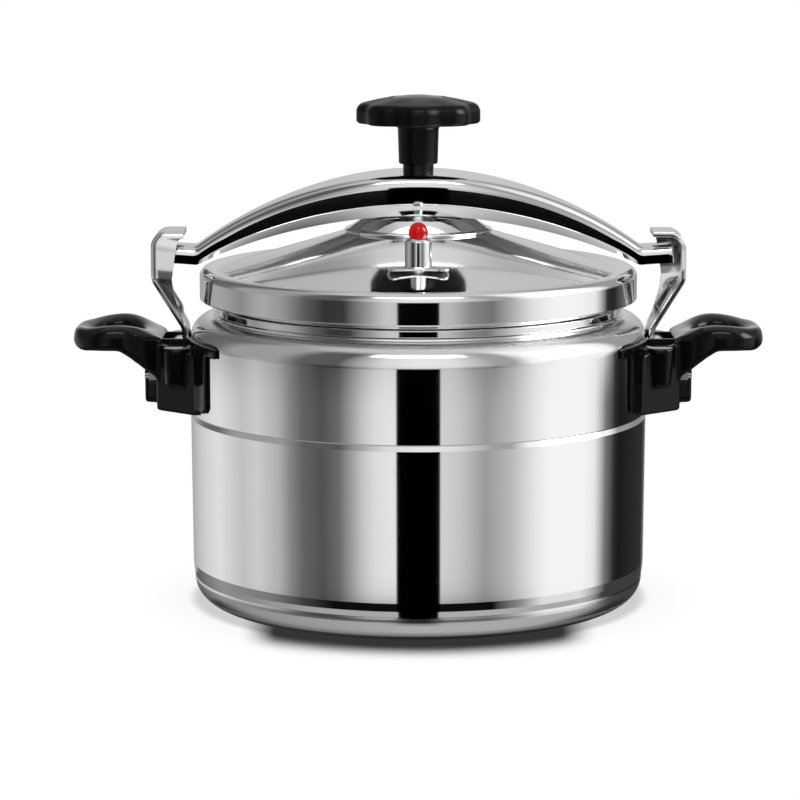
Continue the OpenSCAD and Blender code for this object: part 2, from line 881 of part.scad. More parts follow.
module centre_plate() {
    edge_z = lid_z(plate_r) + fit;
    floor_r = plate_lip_r - plate_lip_h - 0.5;
    color([0.84, 0.85, 0.86])
        difference() {
            rotate_extrude()
                polygon([[0, plate_floor_z - plate_t], [floor_r - 1, plate_floor_z - plate_t],
                    [cone_top_r, lid_top_z + fit], [plate_r, edge_z], [plate_r, edge_z + 1.2],
                    [plate_r - 2.5, edge_z + 2.2], [plate_lip_r + 1.4, plate_lip_z - 0.3],
                    [plate_lip_r + 0.5, plate_lip_z], [plate_lip_r - 0.4, plate_lip_z - 0.2],
                    [floor_r, plate_floor_z], [0, plate_floor_z]]);
            for (k = [0:2])
                rotate([0, 0, 120 * k + 90])
                    translate([rivet_ring_r, 0, lid_top_z - 5])
                        cylinder(r = rivet_r + press, h = 20);
        }
}

module centre_rivets() {
    low = lid_top_z - lid_t - fit;
    color([0.75, 0.76, 0.77])
        for (k = [0:2])
            rotate([0, 0, 120 * k + 90])
                translate([rivet_ring_r, 0, 0]) {
                    translate([0, 0, low])
                        cylinder(r = rivet_r, h = plate_floor_z + fit - low + eps);
                    translate([0, 0, plate_floor_z + fit])
                        cylinder(r1 = 1.7 * rivet_r, r2 = rivet_r, h = 1.4, $fn = 48);
                    translate([0, 0, low - 1.4])
                        cylinder(r1 = rivet_r, r2 = 1.7 * rivet_r, h = 1.4, $fn = 48);
                }
}

module thrust_foot() {
    color([0.7, 0.71, 0.73])
        difference() {
            translate([0, 0, foot_z])
                cylinder(r = foot_r, h = foot_h);
            translate([0, 0, foot_top_z - foot_bore])
                cylinder(r = tip_r + slip, h = foot_bore + 1);
        }
}

// ---------------------------------------------------------------- screw and knob

// Screw with rounded ring grooves at the thread pitch
module spindle() {
    tip_z = foot_top_z - foot_bore + 0.2;
    groove = screw_pitch * 0.3;
    first = screw_z + 2;
    count = floor((knob_stem_z - 6 - first) / screw_pitch);
    color([0.5, 0.51, 0.53])
        difference() {
            rotate_extrude()
                polygon(concat(
                    [[0, tip_z], [tip_r - 0.8, tip_z], [tip_r, tip_z + 0.8], [tip_r, screw_z],
                     [screw_r - 1, screw_z], [screw_r, screw_z + 1]],
                    [for (i = [0:count - 1], p = [[0, 0], [-groove, groove], [0, 2 * groove]])
                        [screw_r + p[0], first + i * screw_pitch + p[1]]],
                    [[screw_r, knob_stem_z - fit], [shank_r, knob_stem_z - fit],
                     [shank_r, shank_top_z], [0, shank_top_z]]));
            translate([0, 0, shank_top_z - 15])
                cylinder(r = cap_screw_r, h = 20);
        }
}

// Lobed outline of the knob head
module knob_plan() {
    polygon([for (k = [0:143]) let (a = 2.5 * k,
        r = knob_r - lobe_depth * pow((1 - cos(knob_lobes * (a - 90))) / 2, 1.3))
        [r * cos(a), r * sin(a)]]);
}

module knob() {
    color([0.05, 0.05, 0.055])
        difference() {
            union() {
                intersection() {
                    translate([0, 0, knob_head_z])
                        linear_extrude(knob_h)
                            knob_plan();
                    rotate_extrude()
                        polygon(concat(
                            [[0, knob_head_z], [knob_r - 1.2, knob_head_z], [knob_r, knob_head_z + 1.2]],
                            arc(knob_r - knob_edge_r, knob_top_z - knob_edge_drop, knob_edge_r,
                                0, knob_edge_a, 8),
                            arc(0, knob_top_z - knob_crown_r, knob_crown_r, knob_edge_a, 90, 8)));
                }
                rotate_extrude()
                    polygon([[0, knob_stem_z], [stem_low_r - 0.6, knob_stem_z],
                        [stem_low_r, knob_stem_z + 0.6], [stem_r, knob_head_z + eps],
                        [0, knob_head_z + eps]]);
            }
            translate([0, 0, cap_z])
                cylinder(r = cap_r + fit, h = 10);
            translate([0, 0, knob_stem_z - 1])
                cylinder(r = shank_r + press, h = shank_top_z + fit - knob_stem_z + 1);
            translate([0, 0, shank_top_z - 1])
                cylinder(r = cap_screw_r + 0.6, h = 10);
            translate([0, 0, shank_top_z + 1.9])
                cylinder(r = cap_screw_head_r + 0.5, h = 10);
        }
}

module knob_screw() {
    color([0.6, 0.61, 0.63])
        union() {
            translate([0, 0, shank_top_z + 1.9 + fit])
                cylinder(r = cap_screw_head_r, h = 2.6);
            translate([0, 0, shank_top_z - 13])
                cylinder(r = cap_screw_r - press, h = 15.5);
        }
}

module knob_cap() {
    color([0.03, 0.03, 0.035])
        rotate_extrude()
            polygon([[0, cap_z + fit], [cap_r, cap_z + fit], [cap_r, cap_z + fit + cap_t - 0.7],
                [cap_r - 1, cap_z + fit + cap_t], [0, cap_z + fit + cap_t]]);
}

// ---------------------------------------------------------------- beam

// Side outline of the arch: top face t below the outside, sides depth_add deeper
module beam_side(t, depth_add, end) {
    n = 36;
    half = concat(
        [for (i = [0:n]) bend_start * i / n],
        [for (i = [1:6]) bend_start + (bend_x - bend_start) * i / 6],
        [end]);
    last = len(half) - 1;
    xs = concat([for (i = [last:-1:1]) -half[i]], half);
    top = [for (x = xs) [x, arch_top(abs(x)) - t]];
    low = [for (i = [2 * last:-1:0]) let (x = abs(xs[i]))
        [xs[i], arch_top(x) - side_depth(x) - depth_add]];
    polygon(concat(top, low));
}

// Plan outline of the arch, drawn in by inset
module beam_plan(inset, end) {
    n = 30;
    xs = concat([-end], [for (i = [-n:n]) bend_x * i / n], [end]);
    front = [for (x = xs) [x, inset - half_width(abs(x))]];
    back = [for (i = [len(xs) - 1:-1:0]) [xs[i], half_width(abs(xs[i])) - inset]];
    polygon(concat(front, back));
}

module beam() {
    color([0.83, 0.84, 0.85])
        difference() {
            intersection() {
                across(beam_mid_w + 5)
                    beam_side(0, 0, beam_half);
                linear_extrude(big)
                    beam_plan(0, beam_half);
            }
            intersection() {
                across(beam_mid_w + 5)
                    beam_side(beam_t, 5, beam_half - beam_t);
                linear_extrude(big)
                    beam_plan(beam_t, beam_half - beam_t);
            }
            cylinder(r = bush_r + press, h = big);
        }
}

module beam_bush() {
    color([0.56, 0.57, 0.59])
        difference() {
            union() {
                translate([0, 0, bush_bottom_z])
                    cylinder(r = bush_r, h = bush_h);
                translate([0, 0, bush_flange_z])
                    cylinder(r = bush_flange_r, h = bush_flange_t);
            }
            translate([0, 0, bush_bottom_z - 1])
                cylinder(r = screw_r + slip, h = bush_h + 2);
        }
}

module stop_washer() {
    color([0.66, 0.67, 0.69])
        difference() {
            translate([0, 0, bush_bottom_z - fit - washer_t])
                cylinder(r = bush_r, h = washer_t);
            translate([0, 0, bush_bottom_z - washer_t - 2])
                cylinder(r = screw_r + slip, h = washer_t + 4);
        }
}

// ---------------------------------------------------------------- vent and plug

module at_vent() {
    translate([0, -vent_x, 0])
        children();
}

module at_plug() {
    translate([0, vent_x, 0])
        children();
}

// Seal washer pressed against the underside of the lid
module under_seal() {
    translate([0, 0, under_seal_z])
        difference() {
            cylinder(r = pad_r - 0.5, h = seal_t);
            translate([0, 0, -1])
                cylinder(r = thread_r + press, h = seal_t + 2);
        }
}

// Hexagon nut below the seal
module under_nut() {
    translate([0, 0, under_nut_z])
        difference() {
            cylinder(r = pad_r - 1, h = nut_h, $fn = 6);
            translate([0, 0, -1])
                cylinder(r = thread_r + press, h = nut_h + 2);
        }
}

// Two round ears held in front of the flange by a strip that widens towards them
module vent_ears() {
    ear_x = ear_reach - ear_r;
    for (side = [-1, 1])
        translate([side * ear_x, -ear_y])
            circle(r = ear_r);
    translate([0, -ear_y])
        polygon([[-ear_x, -ear_r * 0.9], [0, -ear_r / 2], [ear_x, -ear_r * 0.9],
            [ear_x, ear_r * 0.9], [0, ear_r / 2], [-ear_x, ear_r * 0.9]]);
}

module vent_pipe() {
    low = under_nut_z - 5;
    color([0.72, 0.73, 0.75])
        at_vent()
            difference() {
                union() {
                    translate([0, 0, low])
                        cylinder(r = thread_r, h = pad_z + fit - low + eps);
                    translate([0, 0, pad_z + fit])
                        cylinder(r = flange_r, h = flange_t);
                    translate([0, 0, pad_z + fit])
                        linear_extrude(flange_t)
                            vent_ears();
                    translate([0, 0, pad_z])
                        cylinder(r = nipple_r, h = nipple_top_z - pad_z);
                }
                translate([0, 0, low - 1])
                    cylinder(r = 1.5, h = big);
            }
}

module vent_washer() {
    color([0.2, 0.2, 0.2])
        at_vent()
            under_seal();
}

module vent_nut() {
    color([0.68, 0.69, 0.71])
        at_vent()
            under_nut();
}

// Slotted cup pushed on the lower end of the vent pipe
module vent_strainer() {
    h = 8;
    wall = 2.2;
    slot = 1.4;
    color([0.72, 0.73, 0.75])
        at_vent()
            translate([0, 0, under_nut_z - fit - h])
                difference() {
                    cylinder(r = thread_r + wall, h = h);
                    translate([0, 0, 1.2])
                        cylinder(r = thread_r + press, h = h);
                    for (k = [0:3])
                        rotate([0, 0, 45 * k])
                            translate([-10, -slot / 2, -1])
                                cube([20, slot, 3.4]);
                }
}

module regulator_weight() {
    bevel = 1;
    color([0.83, 0.84, 0.85])
        at_vent()
            difference() {
                union() {
                    translate([0, 0, weight_z])
                        cylinder(r = weight_r, h = weight_h - bevel);
                    translate([0, 0, weight_top_z - bevel])
                        cylinder(r1 = weight_r, r2 = weight_r - bevel, h = bevel);
                }
                translate([0, 0, weight_z - 1])
                    cylinder(r = nipple_r + slip, h = nipple_top_z - weight_z + 1 + fit);
            }
}

module regulator_cap() {
    color([0.8, 0.05, 0.06])
        at_vent()
            translate([0, 0, weight_top_z + fit])
                intersection() {
                    translate([0, 0, ball_z])
                        sphere(r = ball_r, $fn = 64);
                    cylinder(r = 2 * ball_r, h = 2 * ball_r);
                }
}

// Over-pressure plug: hexagon above the lid, thread through it
module safety_plug() {
    low = under_nut_z - 3;
    head_h = 3.4;
    color([0.76, 0.77, 0.79])
        at_plug() {
            translate([0, 0, low])
                cylinder(r = thread_r, h = pad_z + fit - low + eps);
            translate([0, 0, pad_z + fit])
                cylinder(r = pad_r - 1.5, h = head_h, $fn = 6);
            translate([0, 0, pad_z + fit + head_h - eps])
                cylinder(r1 = thread_r + 0.5, r2 = thread_r - 0.9, h = 1.8);
        }
}

module plug_washer() {
    color([0.2, 0.2, 0.2])
        at_plug()
            under_seal();
}

module plug_nut() {
    color([0.68, 0.69, 0.71])
        at_plug()
            under_nut();
}

pot_base();
pot_body();
pot_neck();
rack();
left_bracket();
right_bracket();
bracket_rivets();
left_handle();
right_handle();
handle_bolts();
handle_nuts();
left_hook();
right_hook();
left_hook_pin();
right_hook_pin();
gasket();
lid_shell();
lid_rim();
centre_plate();
centre_rivets();
thrust_foot();
spindle();
knob();
knob_screw();
knob_cap();
beam();
beam_bush();
stop_washer();
vent_pipe();
vent_washer();
vent_nut();
vent_strainer();
regulator_weight();
regulator_cap();
safety_plug();
plug_washer();
plug_nut();
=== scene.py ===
# %% [markdown]
# A pressure canner is a pot that locks its lid with a screw. The model has two
# halves that share one frame: the CAD solids, which carry sizes and joints, and
# the pieces made here, which carry the looks. So the first step loads the CAD
# solids and reads sizes off the boxes they fill. Nothing made later may leave
# it.

# %% Load the frame
import math

import bmesh
import bpy
import numpy as np
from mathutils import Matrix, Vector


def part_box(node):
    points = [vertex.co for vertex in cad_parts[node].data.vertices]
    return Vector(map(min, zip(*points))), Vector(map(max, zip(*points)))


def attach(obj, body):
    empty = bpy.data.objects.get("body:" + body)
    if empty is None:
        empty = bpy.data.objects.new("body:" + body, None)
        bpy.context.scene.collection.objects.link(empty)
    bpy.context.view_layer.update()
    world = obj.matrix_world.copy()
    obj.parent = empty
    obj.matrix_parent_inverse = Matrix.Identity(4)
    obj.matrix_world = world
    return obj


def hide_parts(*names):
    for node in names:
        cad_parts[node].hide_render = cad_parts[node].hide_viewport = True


MM = 0.001         # metres in a millimetre
SAME_POINT = 2e-6  # points nearer to each other than this, in metres, are one

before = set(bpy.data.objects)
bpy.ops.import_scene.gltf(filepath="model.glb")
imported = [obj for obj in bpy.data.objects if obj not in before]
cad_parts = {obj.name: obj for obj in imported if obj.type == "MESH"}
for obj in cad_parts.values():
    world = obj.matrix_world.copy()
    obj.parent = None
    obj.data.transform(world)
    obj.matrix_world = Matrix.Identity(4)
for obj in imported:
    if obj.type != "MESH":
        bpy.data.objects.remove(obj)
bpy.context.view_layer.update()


def box_mm(node):
    """Lowest and highest corner of a CAD node, in millimetres."""
    low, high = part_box(node)
    return np.array(low) * 1000, np.array(high) * 1000


pot_r = box_mm("pot_body")[1][0]
rim_z = box_mm("pot_neck")[1][2]
print(f"pot radius {pot_r:.1f} mm, rim height {rim_z:.1f} mm")

# %% [markdown]
# Most parts of a pan are turned or spun, so each is a profile carried round an
# axis. A real edge is never razor sharp: it is a small arc that catches a line
# of light. This helper takes a polyline whose points may have a radius and puts
# the arcs in. Long straight runs get a point close to each end, so the shading
# of a flat stays flat beside the arc.

# %% Profiles with rounded corners
def rounded(points, steps=8, guard=0.2):
    """Polyline (a, b) from points (a, b) or (a, b, radius). An arc of the radius
    touches both sides of its corner: its centre lies on the bisector at radius
    over the sine of the half angle. An arc takes less than half of a side. A run
    longer than six guards gets a point one guard from each of its ends."""
    share_of_side, run_in_guards = 0.49, 6
    at = [np.array(p[:2], float) for p in points]
    line = []
    for i, p in enumerate(points):
        if len(p) < 3 or i in (0, len(points) - 1):
            line.append(at[i])
            continue
        back, ahead = at[i - 1] - at[i], at[i + 1] - at[i]
        back_length, ahead_length = np.hypot(*back), np.hypot(*ahead)
        back, ahead = back / back_length, ahead / ahead_length
        half = math.acos(max(-1, min(1, float(back @ ahead)))) / 2
        reach = min(p[2] / math.tan(half), share_of_side * back_length,
                    share_of_side * ahead_length)
        bisector = (back + ahead) / np.hypot(*(back + ahead))
        centre = at[i] + bisector * reach / math.cos(half)
        a, b = at[i] + back * reach - centre, at[i] + ahead * reach - centre
        turn = math.pi - 2 * half
        t = np.linspace(0, 1, steps + 1)[:, None]
        line += list(centre + (np.sin((1 - t) * turn) * a + np.sin(t * turn) * b) / math.sin(turn))
    out = [line[0]]
    for p in line[1:]:
        gap = np.hypot(*(p - out[-1]))
        if gap > run_in_guards * guard:
            step = (p - out[-1]) * guard / gap
            out += [out[-1] + step, p - step]
        out.append(p)
    return np.array(out)


def arc(ca, cb, radius, start, end, steps=12):
    """Points of an arc about (ca, cb) from one angle to another, in degrees."""
    t = np.radians(np.linspace(start, end, steps + 1))
    return [(ca + radius * math.cos(k), cb + radius * math.sin(k)) for k in t]


# %% [markdown]
# A surface is a grid of points: the rows follow one parameter, the columns the
# other, and each small square of four neighbours is a face. The grid closes on
# itself where a parameter goes round. Points that meet at a pole are merged, and
# the faces are then turned to point outwards.

# %% Skins from grids of points
def turned(profile, centre=(0.0, 0.0), turns=192, wobble=None):
    """Grid of a profile (r, z) carried round an upright axis: x is the centre plus
    r cos(a), y the centre plus r sin(a), z stays."""
    a = np.linspace(0, 2 * np.pi, turns, endpoint=False)
    r, z = np.asarray(profile, float).T
    r = r[:, None] + 0 * a if wobble is None else wobble(r[:, None], z[:, None], a)
    return np.stack([centre[0] + r * np.cos(a), centre[1] + r * np.sin(a), z[:, None] + 0 * a], -1)


def squares(rows, columns, wrap_rows, wrap_columns):
    """Corner numbers of every square of a grid."""
    i = np.arange(rows if wrap_rows else rows - 1)[:, None]
    j = np.arange(columns if wrap_columns else columns - 1)[None, :]
    i2, j2 = (i + 1) % rows, (j + 1) % columns
    corners = (i * columns + j, i * columns + j2, i2 * columns + j2, i2 * columns + j)
    return np.stack(np.broadcast_arrays(*corners), -1).reshape(-1, 4)


def skin(name, grids, body, replaces, material, sharp=32, marks=None):
    """One piece from grids (points in mm, rows closed, columns closed). Edges that turn
    by more than the sharp angle are drawn sharp. Marks give the points a named
    number that a finish can read."""
    points, faces, count = [], [], 0
    for grid, wrap_rows, wrap_columns in grids:
        faces.append(squares(grid.shape[0], grid.shape[1], wrap_rows, wrap_columns) + count)
        points.append(grid.reshape(-1, 3))
        count += grid.shape[0] * grid.shape[1]
    mesh = bpy.data.meshes.new(name)
    mesh.from_pydata((np.concatenate(points) * MM).tolist(), [], np.concatenate(faces).tolist())
    if marks:
        mark = mesh.attributes.new(marks[0], "FLOAT", "POINT")
        mark.data.foreach_set("value", marks[1].ravel())
    work = bmesh.new()
    work.from_mesh(mesh)
    bmesh.ops.remove_doubles(work, verts=work.verts, dist=SAME_POINT)
    bmesh.ops.dissolve_degenerate(work, edges=work.edges, dist=1e-7)
    bmesh.ops.recalc_face_normals(work, faces=work.faces)
    work.to_mesh(mesh)
    work.free()
    mesh.shade_smooth()
    mesh.set_sharp_from_angle(angle=math.radians(sharp))
    mesh.materials.append(material)
    piece = bpy.data.objects.new(name, mesh)
    bpy.context.scene.collection.objects.link(piece)
    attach(piece, body)
    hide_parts(*replaces)
    print(f"{name}: {len(mesh.polygons)} faces")
    return piece


# %% [markdown]
# A finish is worked out as a formula over the surface. Blender writes formulas as
# nodes, which are slow to read, so a small class lets Python's own signs stand
# for the Math nodes: one plus two noise values is written just like that.

# %% Node formulas
class Value:
    """A number that varies over the surface: one output socket of a node."""

    def __init__(self, tree, socket):
        self.tree, self.socket = tree, socket

    def math(self, operation, *others):
        """A Math node: this value first, then the others."""
        node = self.tree.nodes.new("ShaderNodeMath")
        node.operation = operation
        for place, item in zip(node.inputs, (self, *others)):
            plug(self.tree, item, place)
        return Value(self.tree, node.outputs[0])

    def __add__(self, other):
        return self.math("ADD", other)

    def __sub__(self, other):
        return self.math("SUBTRACT", other)

    def __rsub__(self, other):
        return (self * -1) + other

    def __mul__(self, other):
        return self.math("MULTIPLY", other)

    def __truediv__(self, other):
        return self.math("DIVIDE", other)

    __radd__, __rmul__ = __add__, __mul__


def plug(tree, item, place):
    """Links a varying value to a socket, or writes a plain one into it."""
    if isinstance(item, Value):
        tree.links.new(item.socket, place)
    else:
        place.default_value = item


class Finish:
    """A material and its node tree."""

    def __init__(self, name):
        self.material = bpy.data.materials.new(name)
        self.material.use_nodes = True
        self.tree = self.material.node_tree
        self.tree.nodes.clear()

    def node(self, kind, settings=None, output=0, **inputs):
        """One node of a kind: its settings first, then values or links by socket name."""
        node = self.tree.nodes.new("ShaderNode" + kind)
        for key, value in (settings or {}).items():
            setattr(node, key, value)
        for key, item in inputs.items():
            name = key.replace("_", " ")
            place = next(s for s in node.inputs if s.name == name and s.enabled)
            plug(self.tree, item, place)
        return Value(self.tree, node.outputs[output])

    def ramp(self, value, stops):
        """A grey level that follows a list of (place, level) stops."""
        node = self.tree.nodes.new("ShaderNodeValToRGB")
        band = node.color_ramp
        while len(band.elements) < len(stops):
            band.elements.new(0.5)
        for element, (place, level) in zip(band.elements, stops):
            element.position = place
        for element, (place, level) in zip(band.elements, stops):
            element.color = (level, level, level, 1)
        plug(self.tree, value, node.inputs[0])
        return Value(self.tree, node.outputs[0])

    def place(self):
        """Position in the object's own frame, whole and as x, y, z values in metres."""
        where = self.node("TexCoord", output=3)
        split = self.tree.nodes.new("ShaderNodeSeparateXYZ")
        self.tree.links.new(where.socket, split.inputs[0])
        return where, *(Value(self.tree, split.outputs[k]) for k in range(3))

    def step(self, value, low, high):
        """0 below low, 1 above high, and smooth between."""
        return self.node("MapRange", {"interpolation_type": "SMOOTHSTEP"}, Value=value,
                         From_Min=low, From_Max=high, To_Min=0.0, To_Max=1.0)

    def between(self, value, rise, fall):
        """0, then 1 from the end of rise to the start of fall, then 0 again."""
        return self.step(value, *rise) * (1 - self.step(value, *fall))

    def mark(self, name):
        """The number that the points of a piece carry under this name."""
        return self.node("Attribute", {"attribute_name": name}, output=2)

    def noise(self, vector, scale, detail=2.0):
        """Noise from 0 to 1. The scale is in spots for each unit of the vector."""
        return self.node("TexNoise", Vector=vector, Scale=scale, Detail=detail)

    def stretch(self, vector, sizes):
        """The position stretched along its axes, for grain that runs one way."""
        return self.node("Mapping", Vector=vector, Scale=sizes)

    def mix(self, share, one, two):
        """Colour between two colours."""
        node = self.tree.nodes.new("ShaderNodeMix")
        node.data_type = "RGBA"
        plug(self.tree, share, node.inputs[0])
        plug(self.tree, one, node.inputs[6])
        plug(self.tree, two, node.inputs[7])
        return Value(self.tree, node.outputs[2])

    def glow(self, level):
        """White light of a varying level."""
        grey = self.node("CombineColor", Red=level, Green=level, Blue=level)
        return self.node("Emission", Color=grey, Strength=1.0)

    def show(self, shade):
        """The finished material: its output shows this shader."""
        out = self.tree.nodes.new("ShaderNodeOutputMaterial")
        self.tree.links.new(shade.socket, out.inputs[0])
        return self.material

    def surface(self, bump, bump_mm, **inputs):
        """The Principled surface, with a bump whose height is given in millimetres."""
        normal = self.node("Bump", Height=bump, Distance=bump_mm * MM, Strength=1.0)
        return self.show(self.node("BsdfPrincipled", Normal=normal, **inputs))


# %% [markdown]
# The pot, the lid and the plate on it are spun aluminium, buffed to a mirror.
# Buffing leaves hair lines that run round the axis, so the grain depends on the
# distance from the axis and on the height, never on the angle. Only the turned
# base, under the corner line, is left with coarse tool marks. The inside of the
# pot is brushed, and the lid's cone is a shade duller than the rest.

# %% Aluminium finishes
def spun_aluminium():
    """Roughness is 0.03 and a little noise, and more on the base, inside and on the cone."""
    finish = Finish("polished aluminium")
    where, x, y, z = finish.place()
    r = (x * x + y * y).math("SQRT")

    def rings(by_radius, by_height, detail):
        """Noise that is the same all round the axis."""
        return finish.noise(finish.node("CombineXYZ", X=r * by_radius, Y=z * by_height, Z=0.0),
                            1.0, detail=detail)

    hair_lines, tool_marks = rings(900.0, 900.0, 3.0), rings(260.0, 420.0, 4.0)
    cloud = finish.noise(where, 22.0, detail=3.0)
    base = 1 - finish.step(z, 0.0125, 0.0145)
    inside = (1 - finish.step(r, (pot_r - 3.8) * MM, (pot_r - 3.4) * MM)) \
        * finish.between(z, (0.003, 0.0036), ((rim_z - 19) * MM, (rim_z - 17) * MM))
    cone = finish.between(r, (0.030, 0.045), (0.098, 0.103)) \
        * finish.step(z, (rim_z + 2) * MM, (rim_z + 4) * MM)
    rough = 0.03 + cloud * 0.02 + hair_lines * 0.02 + base * 0.14 + inside * 0.22 + cone * 0.035
    tone = finish.mix(cloud, (0.885, 0.89, 0.9, 1), (0.915, 0.918, 0.925, 1))
    return finish.surface(hair_lines * 0.06 + tool_marks * base, 0.004, Base_Color=tone,
                          Metallic=1.0, Roughness=rough)


def satin_aluminium():
    """Duller aluminium, whose fine grain runs along Y."""
    finish = Finish("satin aluminium")
    where = finish.place()[0]
    grain = finish.noise(finish.stretch(where, (900.0, 60.0, 900.0)), 1.0, detail=3.0)
    cloud = finish.noise(where, 30.0)
    tone = finish.mix(cloud, (0.74, 0.75, 0.76, 1), (0.82, 0.825, 0.83, 1))
    return finish.surface(grain, 0.006, Base_Color=tone, Metallic=1.0,
                          Roughness=0.26 + cloud * 0.1)


spun = spun_aluminium()
satin = satin_aluminium()

# %% [markdown]
# The beam and the hooks are pressed from steel sheet and polished along their
# length; the hooks are the duller. Small fasteners are zinc plated, which is
# greyer and more matt, and the screw is dark with oil.

# %% Steel finishes
def steel(name, tones, rough, grain_size, bump_mm, dull_mark=None):
    """Steel. Its grain is noise stretched by the three sizes. A marked part of the
    surface, where the polishing wheel can't reach, is left duller than the rest."""
    finish = Finish(name)
    where = finish.place()[0]
    grain = finish.noise(finish.stretch(where, grain_size), 1.0, detail=3.0)
    cloud = finish.noise(where, 35.0, detail=3.0)
    gloss = rough + cloud * 0.03 + grain * 0.02
    if dull_mark:
        gloss = gloss + finish.mark(dull_mark) * 0.34
    return finish.surface(grain, bump_mm, Base_Color=finish.mix(cloud, *tones), Metallic=1.0,
                          Roughness=gloss)


bright = (0.83, 0.835, 0.845, 1), (0.87, 0.872, 0.88, 1)
zinc = (0.56, 0.57, 0.59, 1), (0.66, 0.67, 0.69, 1)
oiled = (0.012, 0.012, 0.013, 1), (0.03, 0.03, 0.032, 1)
lengthwise, upright = (25.0, 500.0, 500.0), (40.0, 300.0, 40.0)
polished = steel("polished steel", bright, 0.04, lengthwise, 0.0002)
beam_steel = steel("beam steel", bright, 0.02, lengthwise, 0.0002, dull_mark="inside")
hook_steel = steel("hook steel", bright, 0.13, upright, 0.0004)
plated = steel("plated steel", zinc, 0.22, (300.0, 300.0, 300.0), 0.01)
screw_dark = steel("screw steel", oiled, 0.2, (200.0, 200.0, 600.0), 0.002)

# %% [markdown]
# The knob and the handles are moulded bakelite: black, with a satin gloss that
# varies a little with wear. The faces of the handles that look up carry a clear
# coat and shine the most. The knob's cap and the red cap are smoother plastic.
# Rubber has no gloss to speak of.

# %% Plastics and rubber
def moulded(name, tones, rough, bump_mm, specular=0.5, gloss_mark=None):
    """Black or coloured plastic. A marked part of the surface has a clear coat."""
    finish = Finish(name)
    where = finish.place()[0]
    pores = finish.noise(where, 1400.0, detail=2.0)
    wear = finish.noise(where, 60.0, detail=4.0)
    coat = {"Coat_Weight": finish.mark(gloss_mark)} if gloss_mark else {}
    return finish.surface(pores, bump_mm, Base_Color=finish.mix(wear, *tones),
                          Roughness=rough + wear * 0.08, Specular_IOR_Level=specular, **coat)


jet = (0.002, 0.002, 0.0023, 1), (0.004, 0.004, 0.0043, 1)
bakelite = moulded("moulded bakelite", jet, 0.1, 0.001, specular=0.16, gloss_mark="upward")
knob_black = moulded("satin bakelite", ((0.0012, 0.0012, 0.0014, 1), (0.0028, 0.0028, 0.003, 1)),
                     0.26, 0.0015, specular=0.15)
gloss_black = moulded("glossy black", jet, 0.08, 0.0006, specular=0.3)
enamel = moulded("black enamel", ((0.0015, 0.0015, 0.0017, 1), (0.003, 0.003, 0.0032, 1)),
                 0.07, 0.0006, specular=0.1)
red = moulded("red cap", ((0.5, 0.002, 0.004, 1), (0.57, 0.004, 0.007, 1)), 0.03, 0.0003,
              specular=0.3)
silicone = moulded("milky silicone", ((0.78, 0.78, 0.76, 1), (0.84, 0.84, 0.82, 1)), 0.42, 0.004)
rubber = moulded("black rubber", ((0.02, 0.02, 0.02, 1), (0.035, 0.035, 0.035, 1)), 0.6, 0.01)

# %% [markdown]
# The pot comes first. Its profile runs up the outside from the middle of the
# base: base corner, a small step where the turned base ends, a straight wall with
# one groove, the shoulder, the neck and the rolled rim, and then down the inside.

# %% The pot
wall, pot_floor = 3.0, 4.0
base_r, base_z, base_corner, inner_corner = pot_r - 1.4, 14.0, 13, 10
groove_z, groove_deep, groove_high = 98.2, 0.9, 3.0
shoulder_z, shoulder_r = rim_z - 29.7, 12.0
neck_r = pot_r - 13.5
rim_r, bead_r = neck_r + 2.3, 1.2
outside = [
    *arc(base_r - base_corner, base_corner, base_corner, -88, -2, 14),
    (base_r, base_z, 0.8), (pot_r - 0.9, base_z + 3, 3), (pot_r - 0.6, base_z + 7, 6),
    (pot_r, groove_z, 0.4), (pot_r - groove_deep, groove_z + groove_high - 0.2, 0.25),
    (pot_r, groove_z + groove_high, 0.4),
    *arc(pot_r - shoulder_r, shoulder_z, shoulder_r, 0, 86, 20)]
neck = [
    (neck_r + 1.3, rim_z - 17.7, 0.3), (neck_r + 1.0, rim_z - 17.2, 0.2),
    (neck_r + 0.9, rim_z - 16.5, 0.4), (neck_r, rim_z - 15.9, 0.4), (neck_r, rim_z - 12.3, 0.9),
    (neck_r - 1.2, rim_z - 11.6, 0.5), (neck_r - 1.2, rim_z - 6.2, 1.2),
    (neck_r + 1.3, rim_z - 4.2, 0.6)]
rim = [
    *arc(rim_r - bead_r, rim_z - 3.0, bead_r, -90, 0, 6),
    *arc(rim_r - bead_r, rim_z - bead_r, bead_r, 0, 90, 6),
    (neck_r - 2, rim_z, 0.9)]
inside = [
    (neck_r - wall, rim_z - 1, 0.8), (neck_r - wall, rim_z - 20.0, 6),
    *arc(pot_r - shoulder_r, shoulder_z, shoulder_r - wall, 88, 2, 14), (pot_r - wall, 24, 3),
    *arc(pot_r - wall - inner_corner, pot_floor + inner_corner, inner_corner, -2, -88, 10)]
pot_profile = rounded([(0, 0), (base_r - base_corner, 0), *outside, *neck, *rim, *inside,
                       (0, pot_floor)])
skin("pot", [(turned(pot_profile, turns=256), False, True)], "pot",
     ["pot_base", "pot_body", "pot_neck"], spun, sharp=40)

# %% [markdown]
# The lid is spun from sheet too. A skirt hangs outside the rim, its top edge is
# rolled, and from a shallow trough a cone rises to the flat that carries the
# screw.

